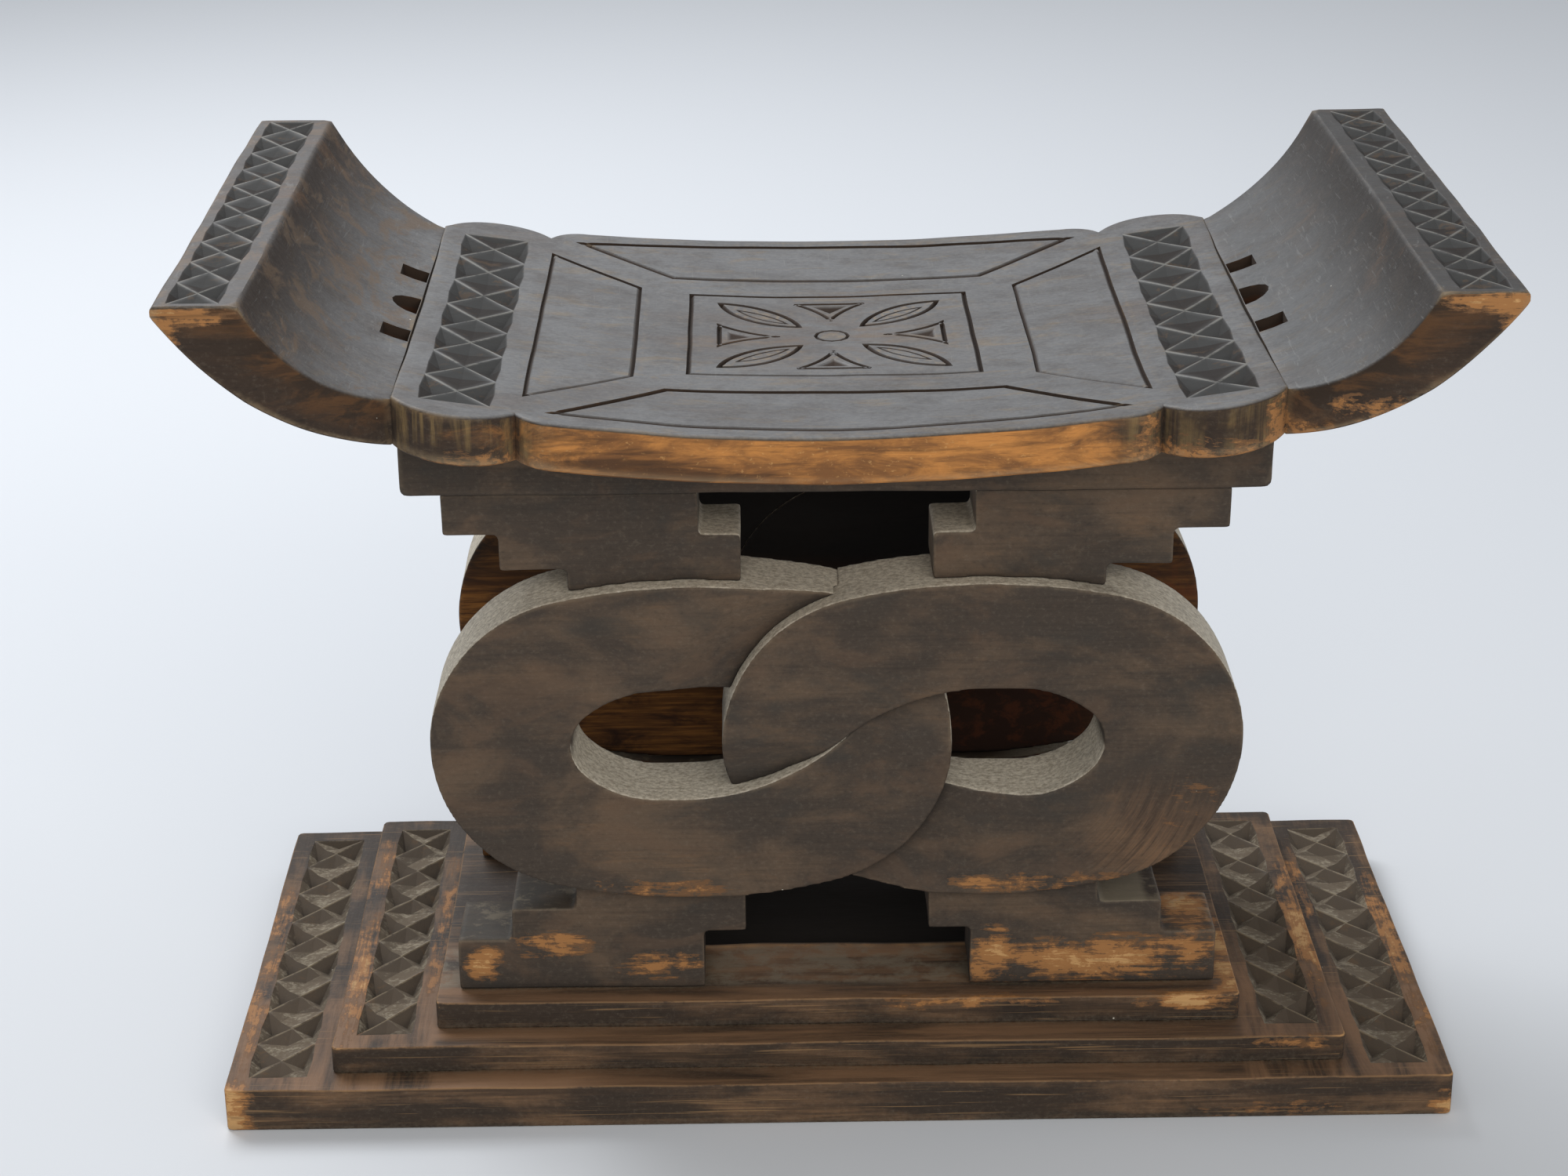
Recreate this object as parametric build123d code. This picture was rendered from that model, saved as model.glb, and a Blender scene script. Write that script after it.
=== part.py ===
"""Ashanti stool: a dished crescent seat on two woven ring screens over a stepped base.

Millimetres. +X runs along the seat, +Y to the back, +Z up.
The origin is the middle of the footprint, on the floor.
"""

import math
import os

from build123d import *

# --- Stepped base: three boards, one on the other -----------------------------
TOP_STEP_LENGTH = 376.0
TOP_STEP_DEPTH = 197.0
TOP_STEP_THICKNESS = 13.7
MIDDLE_STEP_THICKNESS = 13.3
BOTTOM_BOARD_THICKNESS = 21.4
MIDDLE_END_TREAD = 47.5  # how far the middle step shows past the top one at each end
MIDDLE_SIDE_TREAD = 15.5
BOTTOM_END_TREAD = 49.0
BOTTOM_SIDE_TREAD = 14.5
BOARD_CORNER = 4.0
BOARD_ARRIS = 1.2  # worn bevel along the boards' top edges
HOLLOW_SINK = 8.0  # the floor between the screens is cut this deep into the top step
HOLLOW_END_WALL = 52.0
HOLLOW_SIDE_CLEARANCE = 1.0

# --- Chip carving ------------------------------------------------------------
SEAT_CHIP_DEPTH = 3.6
BASE_CHIP_DEPTH = 5.2
CHIP_WALL = 0.14  # a side chip is deepest this share of the band's width in from its border
BASE_BAND_OUTER_MARGIN = 10.0
BASE_BAND_INNER_MARGIN = 13.0
BASE_BAND_END_MARGIN = 11.0
BOTTOM_BAND_CELLS = 8
MIDDLE_BAND_CELLS = 7
PANEL_BAND_WIDTH = 30.5
PANEL_BAND_MARGIN = 11.0
PANEL_BAND_LENGTH = 246.0
PANEL_BAND_CELLS = 7
WING_BAND_MARGIN = 7.0
WING_BAND_END_MARGIN = 3.0
WING_BAND_CELLS = 10

# --- Ring screens ------------------------------------------------------------
SCREEN_SETBACK = 12.5  # from the top step's front edge to the face of the stepped blocks
BLOCK_DEPTH = 39.0
RING_PROUD = 8.0  # the rings stand in front of the blocks by this much
RING_SPREAD = 66.0  # each ring's middle to the middle of the screen
RING_LENGTH = 236.0
RING_HEIGHT = 156.0
RING_END_TIGHTENING = 5.0  # a ring's end arc is this much tighter than half its height
RING_SHYNESS = 7.0  # the rings' inner faces lie this much behind those of the blocks
RING_LIFT = 51.8  # lowest point of the rings above the base
RING_HEADROOM = 41.8  # highest point of the rings to the bearer
EYE_HALF_HEIGHT = 26.9
EYE_END = 16.0  # centre of the eye's oval end, outwards from its ring's middle
EYE_END_REACH = 38.5  # from that centre to the tip of the oval
EYE_END_RADIUS = 20.0
EYE_SHOULDER = 4.0  # where the eye starts to narrow towards the crossing
TUCK_DEPTH = 6.0  # how far a ring's face is shaved back where it goes behind the other
TUCK_WIDTH = 27.0

# --- Stepped blocks between base, rings and bearer ----------------------------
LOWER_BLOCK_SETBACK = 10.5  # from the top step's end to the lowest block's end
LOWER_RISERS = (26.9, 16.0)
LOWER_TREADS = (26.0, 30.0)
LOWER_GATE_HALF_WIDTH = 62.4
LOWER_GATE_NECK = 42.6
LOWER_GATE_HEIGHT = 30.0
UPPER_BLOCK_SETBACK = 17.0  # from the bearer's end to the highest block's end
UPPER_RISERS = (19.7, 16.9)
UPPER_TREADS = (24.8, 29.2)
UPPER_GATE_HALF_WIDTH = 61.0
UPPER_GATE_NECK = 42.5
UPPER_GATE_HEIGHT = 20.0

# --- Bearer: the slab under the seat -----------------------------------------
BEARER_OVERLAP = 3.5  # the bearer runs past the seat panel's joints, under the wings
BEARER_PROUD = 3.0
BEARER_HEIGHT = 25.4  # at the middle of the stool, where it is lowest
BEARER_ARRIS = 3.0

# --- Seat panel --------------------------------------------------------------
PANEL_LENGTH = 376.0
PANEL_THICKNESS = 21.0  # along the front edge, at the middle
PANEL_TOP_RADIUS = 1150.0
PANEL_UNDER_RADIUS = 1297.0
PANEL_JOINT_DEPTH = 255.0
CROWN_DEPTH = 288.0
CROWN_SHOULDER = (118.0, 139.3)
CROWN_CORNER_RADIUS = 18.0
NOTCH = (136.0, 130.0)
LOBE_RADIUS = 31.0
DISH_DEPTH = 3.3  # the middle of the seat lies this much under its front and back edges

# --- Wings -------------------------------------------------------------------
WING_REACH = 92.0
WING_RISE = 49.4  # from the wing's face at the joint up to its flat end
WING_STEP = 2.2  # the panel stands above the wings by this much
WING_FLAT = 36.0
WING_CURVE = 91.0
WING_BACK_CURVE = 175.0
WING_END_THICKNESS = 5.0
WING_DEPTH = 304.0
WING_FLANK_CURVE = 130.0
WING_ARRIS = 3.5
SOCKET_LENGTH = 12.5
SOCKET_WIDTH = 15.0
SOCKET_DEPTH = 14.0
SOCKET_SPACING = 43.5
EYE_SOCKET_WIDTH = 23.0

# --- Carved lines on the seat ------------------------------------------------
LINE_WIDTH = 3.2
LINE_DEPTH = 2.4
FINE_LINE_WIDTH = 1.8
FRAME_HALF_LENGTH = 66.0
FRAME_HALF_DEPTH = 58.0
END_FIELD_INNER = (88.5, 64.5)
END_FIELD_OUTER = (134.5, 106.0)
SIDE_FIELD_INNER = (74.5, 79.5)
SIDE_FIELD_OUTER = (124.0, 125.0)
SIDE_FIELD_BULGE = 9.5
MOTIF_RING = 8.5
PETAL_TIP = 20.0
PETAL_REACH = 50.0
PETAL_HALF_WIDTH = 18.5
PETAL_WALL = 8.0  # a flared arm is deepest this far in from its rim
LEAF_INNER = (13.5, 12.5)
LEAF_OUTER = (53.0, 47.0)
LEAF_CURVE = 40.0

# --- Sizes that follow from the ones above -----------------------------------
MIDDLE_LENGTH = TOP_STEP_LENGTH + 2 * MIDDLE_END_TREAD
MIDDLE_DEPTH = TOP_STEP_DEPTH + 2 * MIDDLE_SIDE_TREAD
BOTTOM_LENGTH = MIDDLE_LENGTH + 2 * BOTTOM_END_TREAD
BOTTOM_DEPTH = MIDDLE_DEPTH + 2 * BOTTOM_SIDE_TREAD
MIDDLE_TOP = BOTTOM_BOARD_THICKNESS + MIDDLE_STEP_THICKNESS
BASE_TOP = MIDDLE_TOP + TOP_STEP_THICKNESS

BLOCK_FACE = TOP_STEP_DEPTH / 2 - SCREEN_SETBACK
RING_FACE = BLOCK_FACE + RING_PROUD
SCREEN_INSIDE = BLOCK_FACE - BLOCK_DEPTH
RING_INSIDE = SCREEN_INSIDE + RING_SHYNESS
RING_MIDDLE = (RING_FACE + RING_INSIDE) / 2
RING_END_RADIUS = RING_HEIGHT / 2 - RING_END_TIGHTENING
RING_Z = BASE_TOP + RING_LIFT + RING_HEIGHT / 2
BEARER_Z = RING_Z + RING_HEIGHT / 2 + RING_HEADROOM
SEAT_UNDER = BEARER_Z + BEARER_HEIGHT
SEAT_TOP = SEAT_UNDER + PANEL_THICKNESS

JOINT_X = PANEL_LENGTH / 2
TOP_AXIS_Z = SEAT_TOP + PANEL_TOP_RADIUS
UNDER_AXIS_Z = SEAT_UNDER + PANEL_UNDER_RADIUS
JOINT_TOP = TOP_AXIS_Z - math.sqrt(PANEL_TOP_RADIUS**2 - JOINT_X**2)
JOINT_UNDER = UNDER_AXIS_Z - math.sqrt(PANEL_UNDER_RADIUS**2 - JOINT_X**2)
DISH_RADIUS = ((CROWN_DEPTH / 2) ** 2 + DISH_DEPTH**2) / (2 * DISH_DEPTH)
WING_END_X = JOINT_X + WING_REACH
WING_TOP = JOINT_TOP - WING_STEP + WING_RISE
ABOVE = 60.0  # how far cutting solids reach past what they cut

HALF_TURN = Rotation(0, 0, 180)


def seat_z(x, y):
    """Height of the dished seat surface over a point of the plan."""
    sag = DISH_RADIUS - math.sqrt(DISH_RADIUS**2 - y**2)
    radius = PANEL_TOP_RADIUS + DISH_DEPTH - sag
    return TOP_AXIS_Z - math.sqrt(radius**2 - x**2)


def dish(extra=0.0):
    """Barrel whose lower side is the seat surface, lowered by extra."""
    half = WING_DEPTH / 2 + ABOVE
    crown = PANEL_TOP_RADIUS + DISH_DEPTH + extra
    edge = crown - (DISH_RADIUS - math.sqrt(DISH_RADIUS**2 - half**2))
    profile = make_face(
        [
            Line((-half, TOP_AXIS_Z), (-half, TOP_AXIS_Z - edge)),
            ThreePointArc(
                (-half, TOP_AXIS_Z - edge), (0, TOP_AXIS_Z - crown), (half, TOP_AXIS_Z - edge)
            ),
            Line((half, TOP_AXIS_Z - edge), (half, TOP_AXIS_Z)),
            Line((half, TOP_AXIS_Z), (-half, TOP_AXIS_Z)),
        ]
    )
    return revolve(Plane.YZ * profile, Axis((0, 0, TOP_AXIS_Z), (0, 1, 0)), 360)


def under_roll():
    """Roller whose lower side is the underside of the seat and the top of the bearer."""
    roller = Cylinder(PANEL_UNDER_RADIUS, WING_DEPTH + 2 * ABOVE, rotation=(90, 0, 0))
    return Pos(0, 0, UNDER_AXIS_Z) * roller


def front_slab(profile, back, front):
    """Solid from an XZ profile, between two distances in front of the stool's middle."""
    return extrude(Plane.XZ.offset(back) * profile, amount=front - back)


def stair_polygon(points, mirrored):
    """Closed polygon in XZ, on the right side or mirrored to the left."""
    side = -1 if mirrored else 1
    return make_face(Polyline([(side * x, z) for x, z in points], close=True))


# --- Chip carving: each chip is a pyramid pushed into the surface --------------
def chip(rim, pit):
    """Cutting pyramid with its tip at pit, whose sides meet the surface along rim."""
    over = 1.3
    lid = [pit + (corner - pit) * over for corner in rim]
    return ConvexPolyhedron([pit, *lid])


def chip_band(x_inner, x_outer, y_start, y_end, cells, surface, sink):
    """Cuts of one carved band: crossed ridges left standing between sunk chips."""
    pitch = (y_end - y_start) / cells
    middle = (x_inner + x_outer) / 2
    width = x_outer - x_inner

    def at(x, y, depth=0.0):
        return Vector(x, y, surface(x, y) - depth)

    cuts = []
    for cell in range(cells):
        low = y_start + cell * pitch
        high = low + pitch
        centre = at(middle, low + pitch / 2)
        for border, inwards in ((x_inner, 1), (x_outer, -1)):
            pit = at(border + inwards * CHIP_WALL * width, low + pitch / 2, sink)
            cuts.append(chip([at(border, low), at(border, high), centre], pit))
    for line in range(cells + 1):
        y = y_start + line * pitch
        rim = [at(x_inner, y), at(x_outer, y)]
        if line > 0:
            rim.append(at(middle, y - pitch / 2))
        if line < cells:
            rim.append(at(middle, y + pitch / 2))
        inset = CHIP_WALL * width * ((line == 0) - (line == cells))
        cuts.append(chip(rim, at(middle, y + inset, sink)))
    return cuts


def both_ends(x_inner, x_outer, y_start, y_end, cells, surface, sink):
    """The same carved band at the right and at the left end."""
    right = chip_band(x_inner, x_outer, y_start, y_end, cells, surface, sink)
    left = chip_band(-x_outer, -x_inner, y_start, y_end, cells, surface, sink)
    return right, left


# --- Base --------------------------------------------------------------------
def board(length, depth, thickness, z):
    """One board of the base with rounded corners and worn top edges."""
    blank = Pos(0, 0, z + thickness / 2) * Box(length, depth, thickness)
    blank = fillet(blank.edges().filter_by(Axis.Z), BOARD_CORNER)
    return chamfer(blank.faces().sort_by(Axis.Z)[-1].edges(), BOARD_ARRIS)


def base_bottom_board():
    bottom = board(BOTTOM_LENGTH, BOTTOM_DEPTH, BOTTOM_BOARD_THICKNESS, 0)
    half = BOTTOM_DEPTH / 2 - BASE_BAND_END_MARGIN
    right, left = both_ends(
        MIDDLE_LENGTH / 2 + BASE_BAND_INNER_MARGIN,
        BOTTOM_LENGTH / 2 - BASE_BAND_OUTER_MARGIN,
        -half,
        half,
        BOTTOM_BAND_CELLS,
        lambda x, y: BOTTOM_BOARD_THICKNESS,
        BASE_CHIP_DEPTH,
    )
    return bottom - right - left


def base_middle_step():
    middle = board(MIDDLE_LENGTH, MIDDLE_DEPTH, MIDDLE_STEP_THICKNESS, BOTTOM_BOARD_THICKNESS)
    half = MIDDLE_DEPTH / 2 - BASE_BAND_END_MARGIN
    right, left = both_ends(
        TOP_STEP_LENGTH / 2 + BASE_BAND_INNER_MARGIN,
        MIDDLE_LENGTH / 2 - BASE_BAND_OUTER_MARGIN,
        -half,
        half,
        MIDDLE_BAND_CELLS,
        lambda x, y: MIDDLE_TOP,
        BASE_CHIP_DEPTH,
    )
    return middle - right - left


def base_top_step():
    """Top board, sunk between the two screens where the stool is hollowed out."""
    top = board(TOP_STEP_LENGTH, TOP_STEP_DEPTH, TOP_STEP_THICKNESS, MIDDLE_TOP)
    hollow = Box(
        TOP_STEP_LENGTH - 2 * HOLLOW_END_WALL,
        2 * (SCREEN_INSIDE - HOLLOW_SIDE_CLEARANCE),
        2 * HOLLOW_SINK,
    )
    return top - Pos(0, 0, BASE_TOP) * hollow


# --- Rings -------------------------------------------------------------------
def oval(x, half_length, half_height, end_radius):
    """Oval of four arcs about a middle at x, in XZ."""
    end = half_length - end_radius
    gap = half_height - end_radius
    # A long arc and an end arc touch, so their centres lie the difference of the radii apart.
    side_radius = end_radius + (end**2 + gap**2) / (2 * gap)
    drop = side_radius - half_height
    lean = math.hypot(end, drop)
    touch_x = end + end_radius * end / lean
    touch_z = end_radius * drop / lean
    return make_face(
        [
            ThreePointArc((x - touch_x, touch_z), (x, half_height), (x + touch_x, touch_z)),
            ThreePointArc((x + touch_x, touch_z), (x + half_length, 0), (x + touch_x, -touch_z)),
            ThreePointArc((x + touch_x, -touch_z), (x, -half_height), (x - touch_x, -touch_z)),
            ThreePointArc((x - touch_x, -touch_z), (x - half_length, 0), (x - touch_x, touch_z)),
        ]
    )


def ring_outline(x):
    """Outside of the ring whose middle is at x."""
    return oval(x, RING_LENGTH / 2, RING_HEIGHT / 2, RING_END_RADIUS)


def eye_arc(side_x, side_z):
    """Edge of an eye from the crossing point out to its shoulder."""
    shoulder = RING_SPREAD + EYE_SHOULDER
    radius = (shoulder**2 + EYE_HALF_HEIGHT**2) / (2 * EYE_HALF_HEIGHT)
    turn = math.asin(shoulder / radius) / 2
    mid_x = shoulder - radius * math.sin(turn)
    mid_z = EYE_HALF_HEIGHT - radius * (1 - math.cos(turn))
    return ThreePointArc(
        (0, 0),
        (side_x * mid_x, side_z * mid_z),
        (side_x * shoulder, side_z * EYE_HALF_HEIGHT),
    )


def right_eye():
    """Opening of the right ring: pointed at the crossing, oval at its outer end."""
    shoulder = RING_SPREAD + EYE_SHOULDER
    end = RING_SPREAD + EYE_END
    half = EYE_HALF_HEIGHT
    flank = Polyline([(shoulder, half), (end, half), (end, -half), (shoulder, -half)])
    pointed = make_face([eye_arc(1, 1), flank, eye_arc(1, -1)])
    return pointed + oval(end, EYE_END_REACH, half, EYE_END_RADIUS)


def below_crossing_line():
    """Everything under the S-shaped line where the rings pass over each other."""
    shoulder = RING_SPREAD + EYE_SHOULDER
    far = RING_SPREAD + RING_LENGTH
    return make_face(
        [
            Line((-far, -EYE_HALF_HEIGHT), (-shoulder, -EYE_HALF_HEIGHT)),
            eye_arc(-1, -1),
            eye_arc(1, 1),
            Line((shoulder, EYE_HALF_HEIGHT), (far, EYE_HALF_HEIGHT)),
            Polyline([(far, EYE_HALF_HEIGHT), (far, -far), (-far, -far), (-far, -EYE_HALF_HEIGHT)]),
        ]
    )


def half_space(origin, normal):
    """Large block on the side of a plane that the normal points to."""
    reach = 2 * RING_LENGTH
    return Plane(origin=origin, z_dir=normal) * Pos(0, 0, reach / 2) * Box(reach, reach, reach)


def right_ring():
    """Right ring of the front screen, about the crossing point: over at the top, under below."""
    outside = ring_outline(RING_SPREAD) - right_eye()
    other = ring_outline(-RING_SPREAD)
    below = below_crossing_line()
    front = outside - (other & below)
    back = outside - (other & mirror(below, Plane.XZ))
    ring = front_slab(front, RING_MIDDLE, RING_FACE) + front_slab(back, RING_INSIDE, RING_MIDDLE)

    # The ring's end is shaved back where it tucks in behind the lower arm of the other.
    end_slope = TUCK_DEPTH / TUCK_WIDTH
    end_tuck = half_space((0, -RING_FACE, 0), (0, -1, -end_slope))
    reach = RING_LENGTH
    end_zone = Pos(-reach / 2, 0, -EYE_HALF_HEIGHT / 2) * Box(reach, 2 * reach, EYE_HALF_HEIGHT)
    # The lower arm is shaved back where it comes out from behind the other ring's end.
    rim_x = RING_LENGTH / 2 - RING_SPREAD
    rim = Vector(rim_x, -RING_FACE, -EYE_HALF_HEIGHT)
    low = Vector(0, -RING_FACE, -(RING_HEIGHT / 2 - 10))
    along = (rim - low).normalized()
    outwards = along.cross(Vector(0, 1, 0)).normalized()
    if outwards.X < 0:
        outwards = -outwards
    arm_slope = TUCK_DEPTH / TUCK_WIDTH
    arm_tuck = half_space(rim + outwards * TUCK_WIDTH, Vector(0, -1, 0) - outwards * arm_slope)
    arm_zone = front_slab(outside - other, RING_INSIDE, RING_FACE)
    arm_zone &= Pos(0, 0, -reach / 2) * Box(2 * reach, 2 * reach, reach)
    return ring - (end_tuck & end_zone) - (arm_tuck & arm_zone)


def rings():
    """Both rings of the front screen: the left one is the right one turned end for end."""
    right = right_ring()
    left = Rotation(0, 180, 0) * right
    return Pos(0, 0, RING_Z) * left, Pos(0, 0, RING_Z) * right


def ring_space():
    """What the rings' outlines fill, through the whole screen, for the blocks to fit round."""
    outlines = ring_outline(-RING_SPREAD) + ring_outline(RING_SPREAD)
    return Pos(0, 0, RING_Z) * front_slab(outlines, 0, RING_FACE + ABOVE)


# --- Stepped blocks ----------------------------------------------------------
def lower_block(mirrored):
    """Stair of treads that climbs from the base to the underside of a ring."""
    reach = TOP_STEP_LENGTH / 2 - LOWER_BLOCK_SETBACK
    first = BASE_TOP + LOWER_RISERS[0]
    second = first + LOWER_RISERS[1]
    gate = BASE_TOP + LOWER_GATE_HEIGHT
    profile = stair_polygon(
        [
            (LOWER_GATE_HALF_WIDTH, BASE_TOP),
            (reach, BASE_TOP),
            (reach, first),
            (reach - LOWER_TREADS[0], first),
            (reach - LOWER_TREADS[0], second),
            (reach - sum(LOWER_TREADS), second),
            (reach - sum(LOWER_TREADS), RING_Z),
            (LOWER_GATE_NECK, RING_Z),
            (LOWER_GATE_NECK, gate),
            (LOWER_GATE_HALF_WIDTH, gate),
        ],
        mirrored,
    )
    return front_slab(profile, SCREEN_INSIDE, BLOCK_FACE) - ring_space()


def upper_block(mirrored):
    """The same stair upside down, from the bearer to the top of a ring."""
    reach = JOINT_X + BEARER_OVERLAP - UPPER_BLOCK_SETBACK
    first = BEARER_Z - UPPER_RISERS[0]
    second = first - UPPER_RISERS[1]
    gate = BEARER_Z - UPPER_GATE_HEIGHT
    profile = stair_polygon(
        [
            (UPPER_GATE_HALF_WIDTH, BEARER_Z),
            (reach, BEARER_Z),
            (reach, first),
            (reach - UPPER_TREADS[0], first),
            (reach - UPPER_TREADS[0], second),
            (reach - sum(UPPER_TREADS), second),
            (reach - sum(UPPER_TREADS), RING_Z),
            (UPPER_GATE_NECK, RING_Z),
            (UPPER_GATE_NECK, gate),
            (UPPER_GATE_HALF_WIDTH, gate),
        ],
        mirrored,
    )
    return front_slab(profile, SCREEN_INSIDE, BLOCK_FACE) - ring_space()


# --- Seat --------------------------------------------------------------------
def panel_plan():
    """Plan of the seat panel: a bulging middle, a notch and a round lobe at each corner."""
    crown_y = CROWN_DEPTH / 2
    shoulder_x, shoulder_y = CROWN_SHOULDER
    joint_y = PANEL_JOINT_DEPTH / 2
    crown = ThreePointArc((-shoulder_x, shoulder_y), (0, crown_y), (shoulder_x, shoulder_y))
    # A radius under zero bends the arc to the other hand.
    corner = RadiusArc(CROWN_SHOULDER, NOTCH, CROWN_CORNER_RADIUS)
    lobe = RadiusArc(NOTCH, (JOINT_X, joint_y), LOBE_RADIUS)
    edge = [crown, corner, lobe, mirror(corner, Plane.YZ), mirror(lobe, Plane.YZ)]
    other_edge = [mirror(piece, Plane.XZ) for piece in edge]
    joints = [Line((x, joint_y), (x, -joint_y)) for x in (-JOINT_X, JOINT_X)]
    return make_face(edge + other_edge + joints)


def outline_band(shape, width):
    """Strip just inside the outline of a flat shape."""
    return shape - offset(shape, amount=-width, kind=Kind.INTERSECTION)


def field(inner, outer, bulge=0.0):
    """Four-sided field of the seat, with inner and outer corners, facing +Y."""
    outer_edge = (
        ThreePointArc((outer[0], outer[1]), (0, outer[1] + bulge), (-outer[0], outer[1]))
        if bulge
        else Line((outer[0], outer[1]), (-outer[0], outer[1]))
    )
    corners = [(-outer[0], outer[1]), (-inner[0], inner[1]), inner, outer]
    return make_face([Polyline(corners), outer_edge])


def leaf(inner, outer):
    """Pointed leaf between two points, sunk as a whole."""
    return make_face([RadiusArc(inner, outer, LEAF_CURVE), RadiusArc(outer, inner, LEAF_CURVE)])


def seat_lines():
    """All fine lines of the seat, as a flat drawing."""
    frame = Rectangle(2 * FRAME_HALF_LENGTH, 2 * FRAME_HALF_DEPTH)
    side_field = field(SIDE_FIELD_INNER, SIDE_FIELD_OUTER, SIDE_FIELD_BULGE)
    end_field = Rotation(0, 0, 90) * field(
        (END_FIELD_INNER[1], -END_FIELD_INNER[0]), (END_FIELD_OUTER[1], -END_FIELD_OUTER[0])
    )
    lines = [outline_band(frame, LINE_WIDTH)]
    for shape in (side_field, end_field):
        lines.append(outline_band(shape, LINE_WIDTH))
        lines.append(HALF_TURN * outline_band(shape, LINE_WIDTH))
    one_leaf = leaf(LEAF_INNER, LEAF_OUTER)
    lines += [one_leaf, mirror(one_leaf, Plane.YZ), mirror(one_leaf, Plane.XZ), HALF_TURN * one_leaf]
    lines.append(Circle(MOTIF_RING) - Circle(MOTIF_RING - FINE_LINE_WIDTH))
    return lines


def petal_chips():
    """Flared arms of the motif, each one chip that points at the motif's centre."""
    rim_flat = [(-PETAL_HALF_WIDTH, PETAL_REACH), (PETAL_HALF_WIDTH, PETAL_REACH), (0, PETAL_TIP)]
    pit_flat = (0, PETAL_REACH - PETAL_WALL)
    cuts = []
    for turn in range(4):
        spin = Rotation(0, 0, 90 * turn)
        rim = []
        for x, y in rim_flat:
            corner = (spin * Pos(x, y, 0)).position
            rim.append(Vector(corner.X, corner.Y, seat_z(corner.X, corner.Y)))
        deep = (spin * Pos(*pit_flat, 0)).position
        pit = Vector(deep.X, deep.Y, seat_z(deep.X, deep.Y) - SEAT_CHIP_DEPTH)
        cuts.append(chip(rim, pit))
    return cuts


def seat_panel():
    """Dished panel with its carved bands, lines and flower."""
    blank = Pos(0, 0, BEARER_Z) * extrude(panel_plan(), PANEL_THICKNESS + 2 * ABOVE)
    blank = (blank & under_roll()) - dish()
    outer = JOINT_X - PANEL_BAND_MARGIN
    half = PANEL_BAND_LENGTH / 2
    right, left = both_ends(
        outer - PANEL_BAND_WIDTH, outer, -half, half, PANEL_BAND_CELLS, seat_z, SEAT_CHIP_DEPTH
    )
    tall = [Pos(0, 0, SEAT_UNDER) * extrude(line, ABOVE) for line in seat_lines()]
    lined = dish(LINE_DEPTH)
    grooves = [cut & lined for cut in tall]
    return blank - grooves - right - left - petal_chips()


def wing_profile():
    """End view of the right wing, in XZ."""
    start_top = JOINT_TOP - WING_STEP
    return make_face(
        [
            Line((JOINT_X, JOINT_UNDER), (JOINT_X, start_top)),
            RadiusArc((JOINT_X, start_top), (WING_END_X - WING_FLAT, WING_TOP), -WING_CURVE),
            Line((WING_END_X - WING_FLAT, WING_TOP), (WING_END_X, WING_TOP)),
            Line((WING_END_X, WING_TOP), (WING_END_X, WING_TOP - WING_END_THICKNESS)),
            RadiusArc(
                (WING_END_X, WING_TOP - WING_END_THICKNESS), (JOINT_X, JOINT_UNDER), WING_BACK_CURVE
            ),
        ]
    )


def wing_plan():
    """Plan of the right wing, which flares out from the joint to the end."""
    joint_y = PANEL_JOINT_DEPTH / 2
    end_y = WING_DEPTH / 2
    flare_x = WING_END_X - WING_FLAT
    flank = RadiusArc((JOINT_X, joint_y), (flare_x, end_y), WING_FLANK_CURVE)
    rim = Polyline([(flare_x, end_y), (WING_END_X, end_y), (WING_END_X, -end_y), (flare_x, -end_y)])
    return make_face([flank, rim, mirror(flank, Plane.XZ), Line((JOINT_X, -joint_y), (JOINT_X, joint_y))])


def sockets():
    """Blind sockets beside the panel joint: two square ones and a half-round one between."""
    half_round = make_face(
        [
            ThreePointArc(
                (0, -EYE_SOCKET_WIDTH / 2), (SOCKET_LENGTH, 0), (0, EYE_SOCKET_WIDTH / 2)
            ),
            Line((0, EYE_SOCKET_WIDTH / 2), (0, -EYE_SOCKET_WIDTH / 2)),
        ]
    )
    square = Pos(SOCKET_LENGTH / 2, 0) * Rectangle(SOCKET_LENGTH, SOCKET_WIDTH)
    floor_z = JOINT_TOP - WING_STEP - SOCKET_DEPTH
    plans = [half_round, Pos(0, SOCKET_SPACING) * square, Pos(0, -SOCKET_SPACING) * square]
    return [Pos(JOINT_X, 0, floor_z) * extrude(plan, ABOVE) for plan in plans]


def right_wing():
    """Raised end of the seat, with its carved band and sockets."""
    body = extrude(Plane.XZ * wing_profile(), WING_DEPTH / 2, both=True)
    body &= extrude(wing_plan(), WING_TOP + ABOVE)
    outer_edges = body.edges().filter_by(Axis.Y).sort_by(Axis.X)[-2:]
    body = fillet(outer_edges.sort_by(Axis.Z)[-1], WING_ARRIS)
    half = WING_DEPTH / 2 - WING_BAND_END_MARGIN
    band = chip_band(
        WING_END_X - WING_FLAT + WING_BAND_MARGIN,
        WING_END_X - WING_BAND_MARGIN,
        -half,
        half,
        WING_BAND_CELLS,
        lambda x, y: WING_TOP,
        SEAT_CHIP_DEPTH,
    )
    return body - band - sockets()


def seat_bearer(wing_pair):
    """Slab under the seat, its top fitted to the underside of panel and wings."""
    half_length = JOINT_X + BEARER_OVERLAP
    half_depth = BLOCK_FACE + BEARER_PROUD
    height = JOINT_UNDER - BEARER_Z + BEARER_HEIGHT
    blank = Pos(0, 0, BEARER_Z + height / 2) * Box(2 * half_length, 2 * half_depth, height)
    ends = blank.faces().sort_by(Axis.Z)[0].edges().filter_by(Axis.Y)
    blank = fillet(ends, BEARER_ARRIS)
    return blank - under_roll() - wing_pair


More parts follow.
